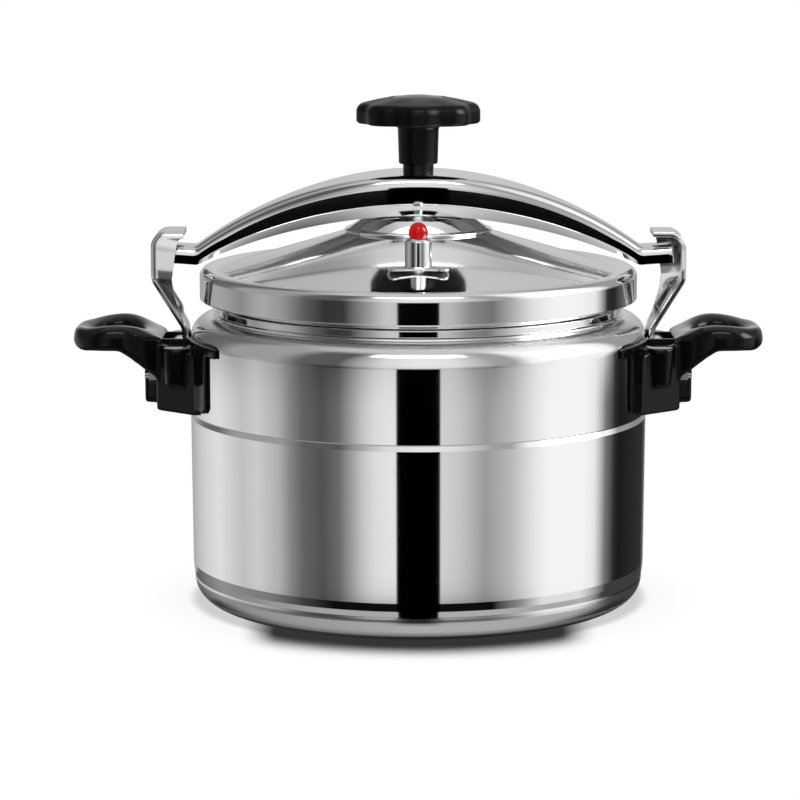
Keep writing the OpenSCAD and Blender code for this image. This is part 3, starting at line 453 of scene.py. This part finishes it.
# %% The lid
rim_low, rim_high = box_mm("lid_rim")
lid_r, skirt_z, lid_top = rim_high[0], rim_low[2], box_mm("lid_shell")[1][2]
lid_sheet, roll_r, hole_r = 2.6, 4.5, 10
cone_foot_r, flat_r = lid_r - 10.8, 31.6
trough_z = lid_top - 21.95
lid_profile = rounded(
    [(lid_r - 2.3, skirt_z), (lid_r - 1.8, skirt_z, 0.3), (lid_r - 0.02, skirt_z + 1, 0.5)]
    + arc(lid_r - roll_r, trough_z + 1.2 - roll_r, roll_r, -3, 86, 14)
    + [(lid_r - 5.7, trough_z + 1.1, 1.5), (cone_foot_r + 2.0, trough_z + 0.1, 1.5),
       (cone_foot_r, trough_z + 0.15, 2.0), (flat_r, lid_top, 1.5), (hole_r, lid_top),
       (hole_r, lid_top - lid_sheet), (flat_r - 1, lid_top - lid_sheet, 1.5),
       (cone_foot_r - 1, trough_z - lid_sheet, 3.0),
       (lid_r - lid_sheet, trough_z - lid_sheet, 2.0), (lid_r - lid_sheet, skirt_z + 0.6, 0.4)])
skin("lid", [(turned(lid_profile, turns=256), True, True)], "lid", ["lid_shell", "lid_rim"],
     spun, sharp=40)

# %% [markdown]
# The beam is one strip of sheet pressed into an arched channel: flat on top, a
# generous corner, and sides that lean in a little towards their lower edge. Each
# cut across it is drawn by letting the surface's own slant follow a rule and
# adding up small steps, which is how a bending line is laid out on the bench. The
# cuts then follow the arch, narrower and shallower towards the flat ends.

# %% The beam
beam_half, _, crown_z = box_mm("beam")[1]
sheet, bend_r = 2.6, 6
end_length, end_z, end_rise = 15.6, 187.5, 0.07
bend_x = beam_half - end_length
rise = crown_z - end_z - bend_r
arch_r = (bend_x ** 2 + rise ** 2 - bend_r ** 2) / (2 * (bend_r + rise))
bend_start = bend_x * arch_r / (arch_r + bend_r)


def beam_top(x):
    """Height of the top face: a circle to the bend, a small opposite arc, a gentle ramp."""
    circle = crown_z - arch_r + np.sqrt(np.maximum(arch_r ** 2 - x ** 2, 0))
    bend = end_z + bend_r - np.sqrt(np.maximum(bend_r ** 2 - (bend_x - x) ** 2, 0))
    ramp = end_z + end_rise * (x - bend_x)
    return np.where(x <= bend_start, circle, np.where(x <= bend_x, bend, ramp))


def beam_grid():
    """Grid of the channel, and 1 for its inside points. Across the beam the slant is 90
    degrees on top, falls evenly to -5.8 round the corner and slowly to -6.8 down the
    side, and then turns to -24 at the lower edge; near the ends the side stays almost
    straight. A step along the surface moves by (sin, -cos) of the slant. The inside is
    the outside moved in by the sheet."""
    side_from = -5.8
    flat_n, corner_n, side_n = 10, 16, 22
    ends = beam_half - np.array([sheet, 1.2, 0.5, 0.12, 0])
    u = np.concatenate([np.linspace(0, bend_start, 70), np.linspace(bend_start, bend_x, 14)[1:],
                        np.linspace(bend_x, ends[0] - 0.02, 8)[1:], ends])
    x = np.concatenate([-u[:0:-1], u])[:, None]
    far = np.abs(x)
    along = np.minimum(far / bend_x, 1)
    swing = (1 + np.cos(np.pi * along)) / 2
    crown = 0.8 * swing
    half = 11 + 17 * swing
    depth = 9.3 + crown + 10.7 * (1 - along ** 2.6)
    corner = 5.2 + crown

    down = np.linspace(0, 1, side_n)
    side_slant = np.interp(down, [0, 0.54, 0.64, 1], [side_from, -6.8, -19, -24])
    end_slant = np.interp(down, [0, 1], [-5.4, -7.2])
    near_end = np.clip((far - 106) / 14, 0, 1)
    slant = np.radians(np.concatenate([np.full((len(x), flat_n), 90.0),
                                       np.linspace(90, side_from, corner_n) + 0 * x,
                                       side_slant + (end_slant - side_slant) * near_end], 1))
    step = np.concatenate([
        np.repeat((half - corner) / flat_n, flat_n, 1),
        np.repeat(corner * math.radians(90 - side_from) / corner_n, corner_n, 1),
        np.repeat((depth - corner) / side_n, side_n, 1)], 1)
    y = np.cumsum(np.sin(slant) * step, 1)
    z = -np.cumsum(np.cos(slant) * step, 1)
    y = np.concatenate([0 * x, y * half / y.max(1, keepdims=True)], 1)
    z = np.concatenate([0 * x, z * depth / -z[:, -1:]], 1)
    slant = np.concatenate([math.pi / 2 + 0 * x, slant], 1)

    inner_y = np.maximum(y - sheet * np.cos(slant), 0)
    inner_z = np.clip(z - sheet * np.sin(slant), -depth, 0)
    closed = far >= ends[0] - 0.01
    inner_z = np.where(closed, -depth, inner_z)
    inset = np.select([far > beam_half - gap for gap in (0.05, 0.2, 0.7)], [1.0, 0.55, 0.18], 0.0)
    y, z = y * (1 - inset / half), np.where(z > -depth * 0.5, z - inset, z)

    top = beam_top(far) + crown
    all_y = np.concatenate([-y[:, ::-1], y[:, 1:], inner_y[:, ::-1], -inner_y[:, 1:]], 1)
    all_z = np.concatenate([z[:, ::-1], z[:, 1:], inner_z[:, ::-1], inner_z[:, 1:]], 1)
    grid = np.stack([x + 0 * all_y, all_y, top + all_z], -1)
    caps = grid[[0, -1]].copy()
    caps[..., 1] = 0
    caps[..., 2] = top[[0, -1]] - depth[[0, -1]] / 2
    grid = np.concatenate([caps[:1], grid, caps[1:]])
    is_inside = np.zeros(grid.shape[:2])
    is_inside[1:-1, 2 * y.shape[1] - 1:] = 1
    return grid, is_inside


beam_points, beam_inside = beam_grid()
skin("clamping_beam", [(beam_points, False, True)], "clamp_beam", ["beam"],
     beam_steel, sharp=40, marks=("inside", beam_inside))

# %% [markdown]
# The knob is moulded round the screw: a plain stem that flares into a head with
# eight lobes. The lobes are a wave added to the radius. It grows with the radius,
# so the stem stays round and the edge gets the whole wave.

# %% The knob
stem_z, top_z = box_mm("knob")[0][2], box_mm("knob")[1][2]
cap_low, cap_high = box_mm("knob_cap")
knob_r, edge_r, crown_r = 32.4, 5, 110
head_z = top_z - 14.6
seat_r, seat_z = 14.3, cap_low[2] - 0.1


def lobes(r, z, a):
    """Radius with eight lobes: less by up to 2.4 mm times a raised cosine to the power
    1.3, in full at the edge and not at all on the stem."""
    wave = 2.4 * ((1 - np.cos(8 * (a - np.pi / 2))) / 2) ** 1.3
    grow = np.clip((r - 15) / 11, 0, 1)
    return r - wave * grow * grow * (3 - 2 * grow)


def crown(r):
    """Height of the crowned top at radius r: a sphere."""
    return top_z - crown_r + math.sqrt(crown_r ** 2 - r * r)


edge_drop = crown_r - math.sqrt((crown_r - edge_r) ** 2 - (knob_r - edge_r) ** 2)
edge_angle = math.degrees(math.acos((knob_r - edge_r) / (crown_r - edge_r)))
knob_profile = rounded(
    [(0, seat_z), (seat_r, seat_z, 0.2), (seat_r, crown(seat_r) - 0.3, 0.3),
     (15.0, crown(15.0), 0.5)]
    + [(r, crown(r)) for r in range(17, 28, 2)]
    + arc(knob_r - edge_r, top_z - edge_drop, edge_r, edge_angle - 2, 0, 12)
    + [(knob_r, head_z + 1.2, 0.7), (knob_r - 1.2, head_z, 0.9), (20, head_z + 0.3, 6),
       (13.5, head_z, 3), (10.75, head_z - 2.2, 2.5), (10.2, stem_z + 0.4, 0.6),
       (9.4, stem_z, 0.4), (0, stem_z)])
skin("hand_knob", [(turned(knob_profile, turns=320, wobble=lobes), False, True)], "screw",
     ["knob"], knob_black, sharp=50)

disc_r, disc_crown = 13.6, 130
cap_profile = rounded(
    [(0, cap_high[2])]
    + [(r, cap_high[2] - r * r / disc_crown) for r in (2.5, 5, 7.5, 10, 12)]
    + [(disc_r, cap_high[2] - 1.6, 0.5), (disc_r, cap_low[2]), (0, cap_low[2])])
skin("knob_cap_disc", [(turned(cap_profile), False, True)], "screw", ["knob_cap"],
     gloss_black)

# %% [markdown]
# The screw is drawn as a plain bar: a thin lower end, a shoulder, and the thick
# length that runs up into the knob. It has no thread here. The CAD solid has
# ring grooves in its place.

# %% The screw
screw_low, screw_high = box_mm("spindle")
bar_z, bar_end, bar_r, row_gap = 204.5, 230.0, 8, 0.22
screw_profile = [
    (0, screw_low[2]), (4.2, screw_low[2]), (5, screw_low[2] + 0.8), (5, bar_z),
    (7.2, bar_z + 0.02), (bar_r, bar_z + 0.9),
    *((bar_r, z) for z in np.arange(bar_z + 1.1, bar_end, row_gap)),
    (7.9, bar_end + 0.05), (6, bar_end + 0.1), (6, screw_high[2]), (0, screw_high[2])]
skin("clamping_screw", [(turned(screw_profile, turns=72), False, True)], "screw", ["spindle"],
     screw_dark, sharp=40)

# %% [markdown]
# The hooks are sheet too: a strap that rises from its hinge, leans out, stands
# upright and turns over into a lip, with one closed side that stiffens it. At each
# point of the strap the cut across it is an L: the strap, a rounded corner, and
# the closed side, which reaches from the strap to its own inner edge.

# %% The hooks
hook_x, _, hook_top = box_mm("right_hook")[1]
pivot_x, pivot_z = 126.5, 133.0
strap, corner_r, edge_round, side_edge_r = 2.8, 3.4, 0.5, 1.2


def hook_grid():
    """Grid of the strap and its closed side. Rows follow the outside line from the
    hinge to the lip; columns go round the L. A point on the closed side lies on the
    straight line from the strap to the inner edge."""
    line = rounded([(123.8, pivot_z - 1.0), (123.8, 143.9, 9), (hook_x, 170.0, 9),
                    (hook_x, hook_top, 9), (hook_x - 17.1, hook_top)], steps=14, guard=0.3)
    keep = np.concatenate([[True], np.hypot(*np.diff(line, axis=0).T) > 1e-6])
    line = line[keep]
    run = np.concatenate([[0], np.cumsum(np.hypot(*np.diff(line, axis=0).T))])
    s = np.unique(np.concatenate([np.linspace(0, run[-1], 90), run]))
    outer = np.stack([np.interp(s, run, line[:, k]) for k in (0, 1)], 1)
    way = np.gradient(outer, s, axis=0)
    way /= np.hypot(*way.T)[:, None]
    normal = np.stack([way[:, 1], -way[:, 0]], 1)
    # Each row: a point of the outside line, and the inner edge's point across from it,
    # which is mostly a measured one.
    pairs = np.array([
        (123.8, 139.0, 121.0, 139.0), (123.8, 143.0, 121.2, 143.0), (130.1, 153.7, 124.9, 153.7),
        (135.8, 163.2, 127.7, 163.0), (139.7, 171.0, 128.7, 170.6), (139.7, 177.0, 127.9, 176.5),
        (139.7, 186.7, 126.5, 186.3), (137.1, 193.1, 125.9, 189.0), (130.7, 195.7, 125.0, 191.2),
        (122.6, 195.7, 122.7, 192.9)])
    at = [s[np.argmin(np.hypot(outer[:, 0] - a, outer[:, 1] - b))] for a, b in pairs[:, :2]]
    edge = np.stack([np.interp(s, at, pairs[:, k]) for k in (2, 3)], 1)
    edge = np.where((s < at[0])[:, None], outer - normal * strap, edge)
    wide = np.interp(outer[:, 1], [141, 150, 171, 176, 186, 190, 196],
                     [12.0, 13.2, 14.9, 14.95, 14.3, 14.2, 13.6])
    bulge = np.clip((outer[:, 1] - 145) / 9, 0, 1) * np.clip((173 - outer[:, 1]) / 9, 0, 1)
    bulge = 3.4 * (bulge * bulge * (3 - 2 * bulge))[:, None]
    columns = []

    def add(width, point):
        columns.append(np.stack([point[:, 0], width + 0 * s, point[:, 1]], 1))

    def rib(width):
        """The rib pressed into the strap: a raised cosine across its middle 17 mm."""
        return normal * bulge * (np.cos(np.pi * np.clip(width / 17, -0.5, 0.5)) ** 2)[:, None]

    def swept(start, end, count):
        """Sine and cosine of evenly spaced angles, given in degrees."""
        angles = np.radians(np.linspace(start, end, count))
        return zip(np.sin(angles), np.cos(angles))

    for sine, cosine in swept(-90, 0, 4):
        add(-wide + edge_round * (1 + sine), outer - normal * edge_round * (1 - cosine))
    for share in np.linspace(0, 1, 28)[1:]:
        width = -wide + edge_round + (2 * wide - edge_round - corner_r) * share
        add(width, outer - rib(width))
    for sine, cosine in list(swept(0, 90, 8))[1:]:
        add(wide - corner_r * (1 - sine), outer - normal * corner_r * (1 - cosine))
    start = outer - normal * corner_r
    for share in np.linspace(0, 1, 8)[1:]:
        add(wide, start + (edge - start) * share)
    for sine, cosine in list(swept(0, 180, 5))[1:]:
        add(wide - side_edge_r * (1 - cosine), edge)
    back = outer - normal * (strap + 0.01)
    for share in np.linspace(0, 1, 8)[1:]:
        add(wide - 2 * side_edge_r, edge + (back - edge) * share)
    for share in np.linspace(0, 1, 28):
        width = wide - 2 * side_edge_r + (-2 * wide + 2 * side_edge_r + edge_round) * share
        add(width, outer - normal * strap - rib(width))
    for sine, cosine in list(swept(0, 90, 4))[1:]:
        add(-wide + edge_round * (1 - sine),
            outer - normal * (strap - edge_round * (1 - cosine)))
    grid = np.stack(columns, 1)
    caps = [end.mean(1, keepdims=True) + 0 * end for end in (grid[:1], grid[-1:])]
    return np.concatenate([caps[0], grid, caps[1]])


def tube_along_y(x, z, outside, inside, half):
    """Grid of a short tube whose axis lies along Y."""
    ring = rounded([(inside, -half), (outside, -half, 0.3), (outside, half, 0.3), (inside, half),
                    (inside, -half)])
    a = np.linspace(0, 2 * np.pi, 72, endpoint=False)
    r, y = ring[:-1].T[..., None]
    return np.stack([x + r * np.cos(a), y + 0 * a, z + r * np.sin(a)], -1)


turn_half = np.array([-1.0, -1.0, 1.0])
right_parts = [(hook_grid(), False, True),
               (tube_along_y(pivot_x, pivot_z, 5.5, 3.05, 12), True, True)]
for side, turn in (("right", np.ones(3)), ("left", turn_half)):
    skin(f"{side}_clamping_hook", [(grid * turn, a, b) for grid, a, b in right_parts],
         f"{side}_hook_arm", [f"{side}_hook"], hook_steel, sharp=40)

# %% [markdown]
# The handles are thick mouldings. Their CAD solid has the right walls, hole and
# bosses, but every edge on it is sharp, and a moulding has none. So a copy of it
# is cut into fine equal cells and relaxed, which rounds every edge at once, and
# the loop is then crowned: the surface drops from its middle line towards the
# outer rim and the finger hole. Points that look up get a mark for the finish.

# %% The handles
def soften(node, cell, rounds):
    """Copy of a CAD node as even cells of the given size, relaxed a few times."""
    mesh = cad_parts[node].data.copy()
    work = bmesh.new()
    work.from_mesh(mesh)
    bmesh.ops.remove_doubles(work, verts=work.verts, dist=SAME_POINT)
    work.to_mesh(mesh)
    work.free()
    draft = bpy.data.objects.new("draft", mesh)
    bpy.context.scene.collection.objects.link(draft)
    cells = draft.modifiers.new("cells", "REMESH")
    cells.mode, cells.voxel_size, cells.use_smooth_shade = "VOXEL", cell, True
    smooth = draft.modifiers.new("relax", "SMOOTH")
    smooth.factor, smooth.iterations = 0.5, rounds
    bpy.context.view_layer.update()
    shaped = draft.evaluated_get(bpy.context.evaluated_depsgraph_get())
    done = bpy.data.meshes.new_from_object(shaped)
    bpy.data.objects.remove(draft)
    done.materials.clear()
    return done


def relax(points, edges, share, rounds):
    """Moves each point by its share of the way to the mean of its neighbours, again and
    again."""
    count = np.bincount(edges.ravel(), minlength=len(points))
    for _ in range(rounds):
        mean = np.stack([(np.bincount(edges[:, 0], column[edges[:, 1]], len(points))
                          + np.bincount(edges[:, 1], column[edges[:, 0]], len(points))) / count
                         for column in points.T], 1)
        points = points + share[:, None] * (mean - points)
    return points


tip_x = box_mm("right_handle")[1][0]
loop_x, root_half, loop_half = 133.7, 20.2, 29.5
hole_x, hole_half_x, hole_half_y = (loop_x + tip_x) / 2 + 0.5, 13, 17
root_top = 140.2


def crowned(points):
    """The loop's top drops by up to 3.6 mm with the square of the distance from the
    middle line between the outer outline and the hole. The outline is a quarter sine
    out to the loop's half width and then a rounded tip; the hole is an ellipse."""
    x, y, z = np.abs(points[:, 0]), points[:, 1], points[:, 2]
    u = np.clip((x - loop_x) / (tip_x - loop_x), 0, 1)
    flare = root_half + (loop_half - root_half) * np.sin(np.minimum(u / 0.5, 1) * np.pi / 2)
    tip = loop_half * np.sqrt(np.clip(1 - (np.maximum(u - 0.55, 0) / 0.45) ** 2.4, 0, 1))
    outline = np.where(u < 0.55, flare, tip)
    from_out = np.clip(outline - np.abs(y), 0, 40)
    hole = np.sqrt(((x - hole_x) / hole_half_x) ** 2 + (y / hole_half_y) ** 2)
    from_hole = np.clip((hole - 1) * (hole_half_x + hole_half_y) / 2, 0, 40)
    offset = (from_hole - from_out) / (from_hole + from_out + 1e-6)
    crest = root_top + 7.8 * np.sin(np.clip(u / 0.46, 0, 1) * np.pi / 2) \
        - 4.6 * np.clip((u - 0.46) / 0.54, 0, 1) ** 1.7
    depth = np.clip(1 - (crest - z) / 9.0, 0, 1)
    grow = np.clip((x - 137.0) / 9.0, 0, 1)
    out = points.copy()
    out[:, 2] = z - 3.6 * offset ** 2 * depth * grow
    return out


for side in ("right", "left"):
    mesh = soften(f"{side}_handle", 0.8 * MM, 6)
    points = np.zeros(len(mesh.vertices) * 3)
    mesh.vertices.foreach_get("co", points)
    points = points.reshape(-1, 3) * 1000
    edges = np.zeros(len(mesh.edges) * 2, int)
    mesh.edges.foreach_get("vertices", edges)
    on_loop = np.clip((np.abs(points[:, 0]) - 134) / 5, 0, 1)
    points = crowned(relax(points, edges.reshape(-1, 2), 0.5 * on_loop, 14))
    mesh.vertices.foreach_set("co", (points / 1000).ravel())
    mesh.name = f"{side}_moulded_handle"
    mesh.shade_smooth()
    normals = np.zeros(len(mesh.vertices) * 3, np.float32)
    mesh.vertex_normals.foreach_get("vector", normals)
    upward = np.clip((normals[2::3] - 0.6) / 0.3, 0, 1)
    mesh.attributes.new("upward", "FLOAT", "POINT").data.foreach_set("value", upward)
    piece = bpy.data.objects.new(f"{side}_moulded_handle", mesh)
    bpy.context.scene.collection.objects.link(piece)
    mesh.materials.append(bakelite)
    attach(piece, "pot")
    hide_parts(f"{side}_handle")
    print(piece.name, len(mesh.polygons), "faces")

# %% [markdown]
# The plate on the lid is pressed with a raised lip round its floor, so that the
# foot of the screw can't slide off. It is buffed like the lid.

# %% The plate and the foot of the screw
plate_low, plate_high = box_mm("centre_plate")
plate_r, lip_z = plate_high[0], plate_high[2]
floor_z, plate_edge_z = lip_z - 3.4, plate_low[2]
floor_under_z = floor_z - 2.2
plate_profile = rounded(
    [(0, floor_z), (22.4, floor_z, 1.6), (26.0, lip_z - 0.3, 0.8), (27.0, lip_z, 0.5),
     (28.0, lip_z - 0.4, 0.9), (36.0, plate_edge_z + 2.3, 2.2),
     (plate_r, plate_edge_z + 1.4, 0.9), (plate_r, plate_edge_z, 0.3),
     (flat_r, lid_top + 0.1), (21.6, floor_under_z), (0, floor_under_z)], steps=10)
skin("pressed_plate", [(turned(plate_profile, turns=224), False, True)], "lid",
     ["centre_plate"], spun, sharp=40)

foot_z, foot_top = box_mm("thrust_foot")[0][2], box_mm("thrust_foot")[1][2]
foot_r, socket_r, socket_z = 10, 5.1, foot_top - 3.4
foot_profile = rounded([(0, socket_z), (socket_r, socket_z), (socket_r, foot_top, 0.3),
                        (foot_r, foot_top, 0.8), (foot_r, foot_z, 0.3), (0, foot_z)])
skin("screw_foot", [(turned(foot_profile, turns=96), False, True)], "lid", ["thrust_foot"],
     plated)

# %% [markdown]
# The vent is a small tube through the lid, and a loose weight sits on it under a
# red ball that one can grip. The weight is turned from bright steel. Both are kept
# out of mirror reflections, so the metal round them stays plain. The seal is a
# soft ring that lies under the lid.

# %% The weight, its red cap and the seal
weight_low, weight_high = box_mm("regulator_weight")
ball_low, ball_high = box_mm("regulator_cap")
vent_at = (0.0, float((weight_low[1] + weight_high[1]) / 2))
weight_r, bore_r = (weight_high[0] - weight_low[0]) / 2, 4.1
w0, w1 = weight_low[2], weight_high[2]
weight_profile = rounded(
    [(bore_r, w0), (weight_r - 0.5, w0, 0.2), (weight_r, w0 + 0.6, 0.3),
     (weight_r, w1 - 1.1, 0.4), (weight_r - 1, w1, 0.3), (bore_r, w1), (bore_r, w0)])
weight = skin("vent_weight", [(turned(weight_profile[:-1], vent_at, 96), True, True)], "weight",
              ["regulator_weight"], polished)
ball_r = (ball_high[0] - ball_low[0]) / 2
ball_profile = np.array(
    [(0, ball_low[2]), (3.9, ball_low[2]), (4.0, ball_low[2] + 0.4), (3.95, ball_low[2] + 1.3)]
    + arc(0, ball_high[2] - ball_r, ball_r, -36, 90, 22))
red_ball = skin("red_ball_cap", [(turned(ball_profile, vent_at, 72), False, True)], "weight",
                ["regulator_cap"], red, sharp=70)
weight.visible_glossy = red_ball.visible_glossy = False

seal_low, seal_high = box_mm("gasket")
seal_r, seal_in_r, s0, s1 = seal_high[0], seal_high[0] - 8, seal_low[2], seal_high[2]
seal_profile = rounded(
    [(seal_in_r, s0, 0.3), (seal_r, s0, 0.4), (seal_r, s1, 0.4), (seal_in_r + 1, s1, 0.6),
     (seal_in_r, s1 - 1, 0.4), (seal_in_r, s0 + 0.2)])
skin("lid_gasket", [(turned(seal_profile), True, True)], "seal", ["gasket"], silicone)

# %% [markdown]
# The camera stands a little above the rim and looks slightly down, with a long
# lens, so the pan keeps its true proportions.

# %% Camera
camera_data = bpy.data.cameras.new("camera")
camera_data.sensor_width = 36.0
camera_data.lens = 149.35
camera_data.shift_x = -0.022875
camera_data.clip_end = 50
camera = bpy.data.objects.new("camera", camera_data)
camera.location = (0, -1.73375, 0.3862)
camera.rotation_euler = (math.pi / 2 - 0.16089, 0, 0)
bpy.context.scene.collection.objects.link(camera)
bpy.context.scene.camera = camera

# %% [markdown]
# A mirror shows the room, not itself, so polished metal is lit by what stands
# round it. A studio uses a white tent with panels and cards: a bright panel
# reads as a bright band on the metal, a black card as a dark one. Here a large
# sphere round the object carries those levels, in belts one above the other. A
# belt's list says how bright the cloth is at each azimuth. The belts that the
# pot's wall and the lid's skirt mirror aren't a design: nearly every stop of
# theirs is a brightness reading. Only reflections see the tent: the background
# stays white and matt surfaces get plain even light from the world.

# %% Light tent
tent_r, tent_z = 4000, 100
under_belt = [(-180, .02), (-140, .04), (-110, .3), (0, .46), (95, .42), (125, .02), (180, .02)]
# Each higher belt starts with the elevations between which it takes over. The second
# and third, for the wall and the skirt, hold the readings.
belts = [
    ((-27.0, -23.0), [
        (-180, .08), (-150, .14), (-120, .3), (-80, .2), (-60, .05), (-44, .004), (38, .004),
        (54, .3), (66, .8), (90, .8), (110, .05), (150, .05), (180, .08)]),
    ((-14.8, -14.0), [
        (-180, .35), (-168, .4), (-156, .48), (-134, .7), (-119, .8), (-98, .58), (-87, .66),
        (-73, .47), (-66, .26), (-59, .14), (-48, .09), (-39, .16), (-33, .36), (-27, .61),
        (-21, .79), (-12, .86), (12, .7), (21, .6), (33, .35), (46, .52), (59, .85), (68, 1.0),
        (90, 1.0), (98, .88), (107, .19), (115, .028), (120, .012), (157, .034), (168, .25),
        (180, .35)]),
    ((-9.0, -6.9), [
        (-180, .37), (-153, .4), (-123, .39), (-104, .27), (-88, .43), (-74, .32), (-61, .12),
        (-49, .036), (-38, .041), (-27, .28), (-16, .6), (16, .53), (27, .26), (38, .18),
        (49, .45), (61, .83), (74, 1.0), (90, 1.0), (104, .89), (115, .03), (123, .018),
        (153, .3), (180, .37)]),
    ((-6.0, 6.0), [
        (-180, .62), (-155, .35), (-140, .12), (-118, .16), (-105, .35), (-74, .35), (-60, .12),
        (-40, .1), (-17, .75), (0, .88), (18, .8), (38, .38), (48, .38), (58, 1.0), (110, 1.0),
        (118, .35), (150, .32), (165, .55), (180, .62)])]


def tent_levels():
    """Glow of the tent: a level for each direction, from azimuth, which is 0 towards
    the camera and grows to its right, and from elevation, both in degrees. Over the
    belts lie an even roof, a bright panel on the right, a bright front card above,
    and a narrow black strip in front."""
    finish = Finish("tent cloth")
    where, x, y, z = finish.place()
    z = z - tent_z * MM
    azimuth = x.math("ARCTAN2", y * -1) * (180 / math.pi)
    length = (x * x + y * y + z * z).math("SQRT")
    height = (z / length).math("ARCSINE") * (180 / math.pi)
    off_centre = azimuth.math("ABSOLUTE")

    def round_belt(stops):
        return finish.ramp(azimuth / 360 + 0.5, [(a / 360 + 0.5, level) for a, level in stops])

    level = round_belt(under_belt)
    for (start, end), stops in belts:
        level = level + (round_belt(stops) - level) * finish.step(height, start, end)
    level = level + (0.6 - level) * finish.step(height, 52.0, 74.0)
    panel = finish.between(azimuth, (62.0, 70.0), (96.0, 104.0)) \
        * finish.between(height, (8.0, 12.0), (40.0, 46.0))
    front = (1 - finish.step(off_centre, 22.0, 32.0)) \
        * finish.between(height, (45.0, 49.0), (56.0, 60.0))
    level = level + panel * 10.0 + front * 6.0
    strip = (1 - finish.step(off_centre, 10.3, 10.9)) \
        * finish.between(height, (-36.0, -34.5), (-4.5, -3.5))
    return finish.show(finish.glow(level * (1 - strip)))


def stage_piece(name, mesh, material):
    """A piece of the studio, which isn't part of the object."""
    piece = bpy.data.objects.new(name, mesh)
    bpy.context.scene.collection.objects.link(piece)
    mesh.materials.append(material)
    return piece


tent_profile = np.array(arc(0, tent_z, tent_r, -90, 90, 48))
tent_grid = turned(tent_profile, turns=96)
tent_mesh = bpy.data.meshes.new("tent")
tent_mesh.from_pydata((tent_grid.reshape(-1, 3) * MM).tolist(), [],
                      squares(*tent_grid.shape[:2], False, True).tolist())
tent_mesh.shade_smooth()
tent = stage_piece("tent", tent_mesh, tent_levels())
tent.visible_camera = tent.visible_diffuse = tent.visible_transmission = False
tent.visible_shadow = False

# %% [markdown]
# The table is plain white, and the eye sees it as a glow. Its shadow is painted
# into that glow: close under the pot it darkens, where ambient occlusion over a
# short distance finds that the pot hides the sky. This painted shadow is faded by
# position behind the pot and beside it.

# %% Table and background
def white_table_with_painted_shadow():
    """The eye sees a glow of the worked-out level, which holds the painted shadow; all other light
    meets white cloth.
    """
    finish = Finish("white table")
    x, y = finish.place()[1:3]

    def open_sky(reach, low, high):
        """0 where things within reach hide the sky, 1 where it is open."""
        share = finish.node("AmbientOcclusion", {"samples": 16}, output=1, Distance=reach)
        return finish.step(share, low, high)

    camera_ray, glossy_ray, transmitted_ray = 0, 3, 6
    seen = finish.node("LightPath", output=camera_ray)
    for kind in (glossy_ray, transmitted_ray):
        seen = seen.math("MAXIMUM", finish.node("LightPath", output=kind))
    # Painted shadow: ambient occlusion darkens the glow near the pot, masks by position fade it
    # beside and behind the pot, and 0.035 is its darkest level.
    shade = open_sky(0.05, 0.56, 0.91)
    beside = finish.step(x.math("ABSOLUTE"), 0.07, 0.092) * 0.95
    behind = finish.step(y, -0.03, 0.04) * 0.6
    painted_contact_shadow = 1 - (1 - open_sky(0.01, 0.45, 0.95)) * 0.35
    level = (shade + (1 - shade) * beside.math("MAXIMUM", behind)) * painted_contact_shadow
    glow = finish.glow(level.math("MAXIMUM", 0.035))
    cloth = finish.node("BsdfDiffuse", Color=(0.8, 0.8, 0.8, 1))
    both = finish.tree.nodes.new("ShaderNodeMixShader")
    for item, place in zip((seen, cloth, glow), both.inputs):
        plug(finish.tree, item, place)
    return finish.show(Value(finish.tree, both.outputs[0]))


table_half = 9
table_mesh = bpy.data.meshes.new("table")
table_mesh.from_pydata([(-table_half, -table_half, 0), (table_half, -table_half, 0),
                        (table_half, table_half, 0), (-table_half, table_half, 0)], [],
                       [(0, 1, 2, 3)])
table = stage_piece("table", table_mesh, white_table_with_painted_shadow())
table.visible_glossy = False

world = bpy.data.worlds.new("studio")
world.use_nodes = True
back = world.node_tree.nodes["Background"]
back.inputs[0].default_value = (1, 1, 1, 1)
back.inputs[1].default_value = 1.0
bpy.context.scene.world = world
bpy.context.scene.view_settings.view_transform = "Standard"

# %% [markdown]
# What is left of the CAD solids keeps its own shape and gets the finish of its
# material.

# %% Finishes of the CAD nodes
nodes_of_finish = [
    (satin, ["rack", "bracket_rivets", "centre_rivets", "vent_pipe"]),
    (enamel, ["left_bracket", "right_bracket"]),
    (plated, ["handle_bolts", "handle_nuts", "left_hook_pin", "right_hook_pin", "knob_screw",
              "stop_washer", "vent_nut", "vent_strainer", "safety_plug", "plug_nut"]),
    (screw_dark, ["beam_bush"]),
    (rubber, ["vent_washer", "plug_washer"])]
for material, nodes in nodes_of_finish:
    for node in nodes:
        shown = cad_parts[node]
        if not shown.material_slots:
            shown.data.materials.append(material)
        for slot in shown.material_slots:
            slot.material = material
print(sum(len(nodes) for _, nodes in nodes_of_finish), "CAD nodes have a finish")
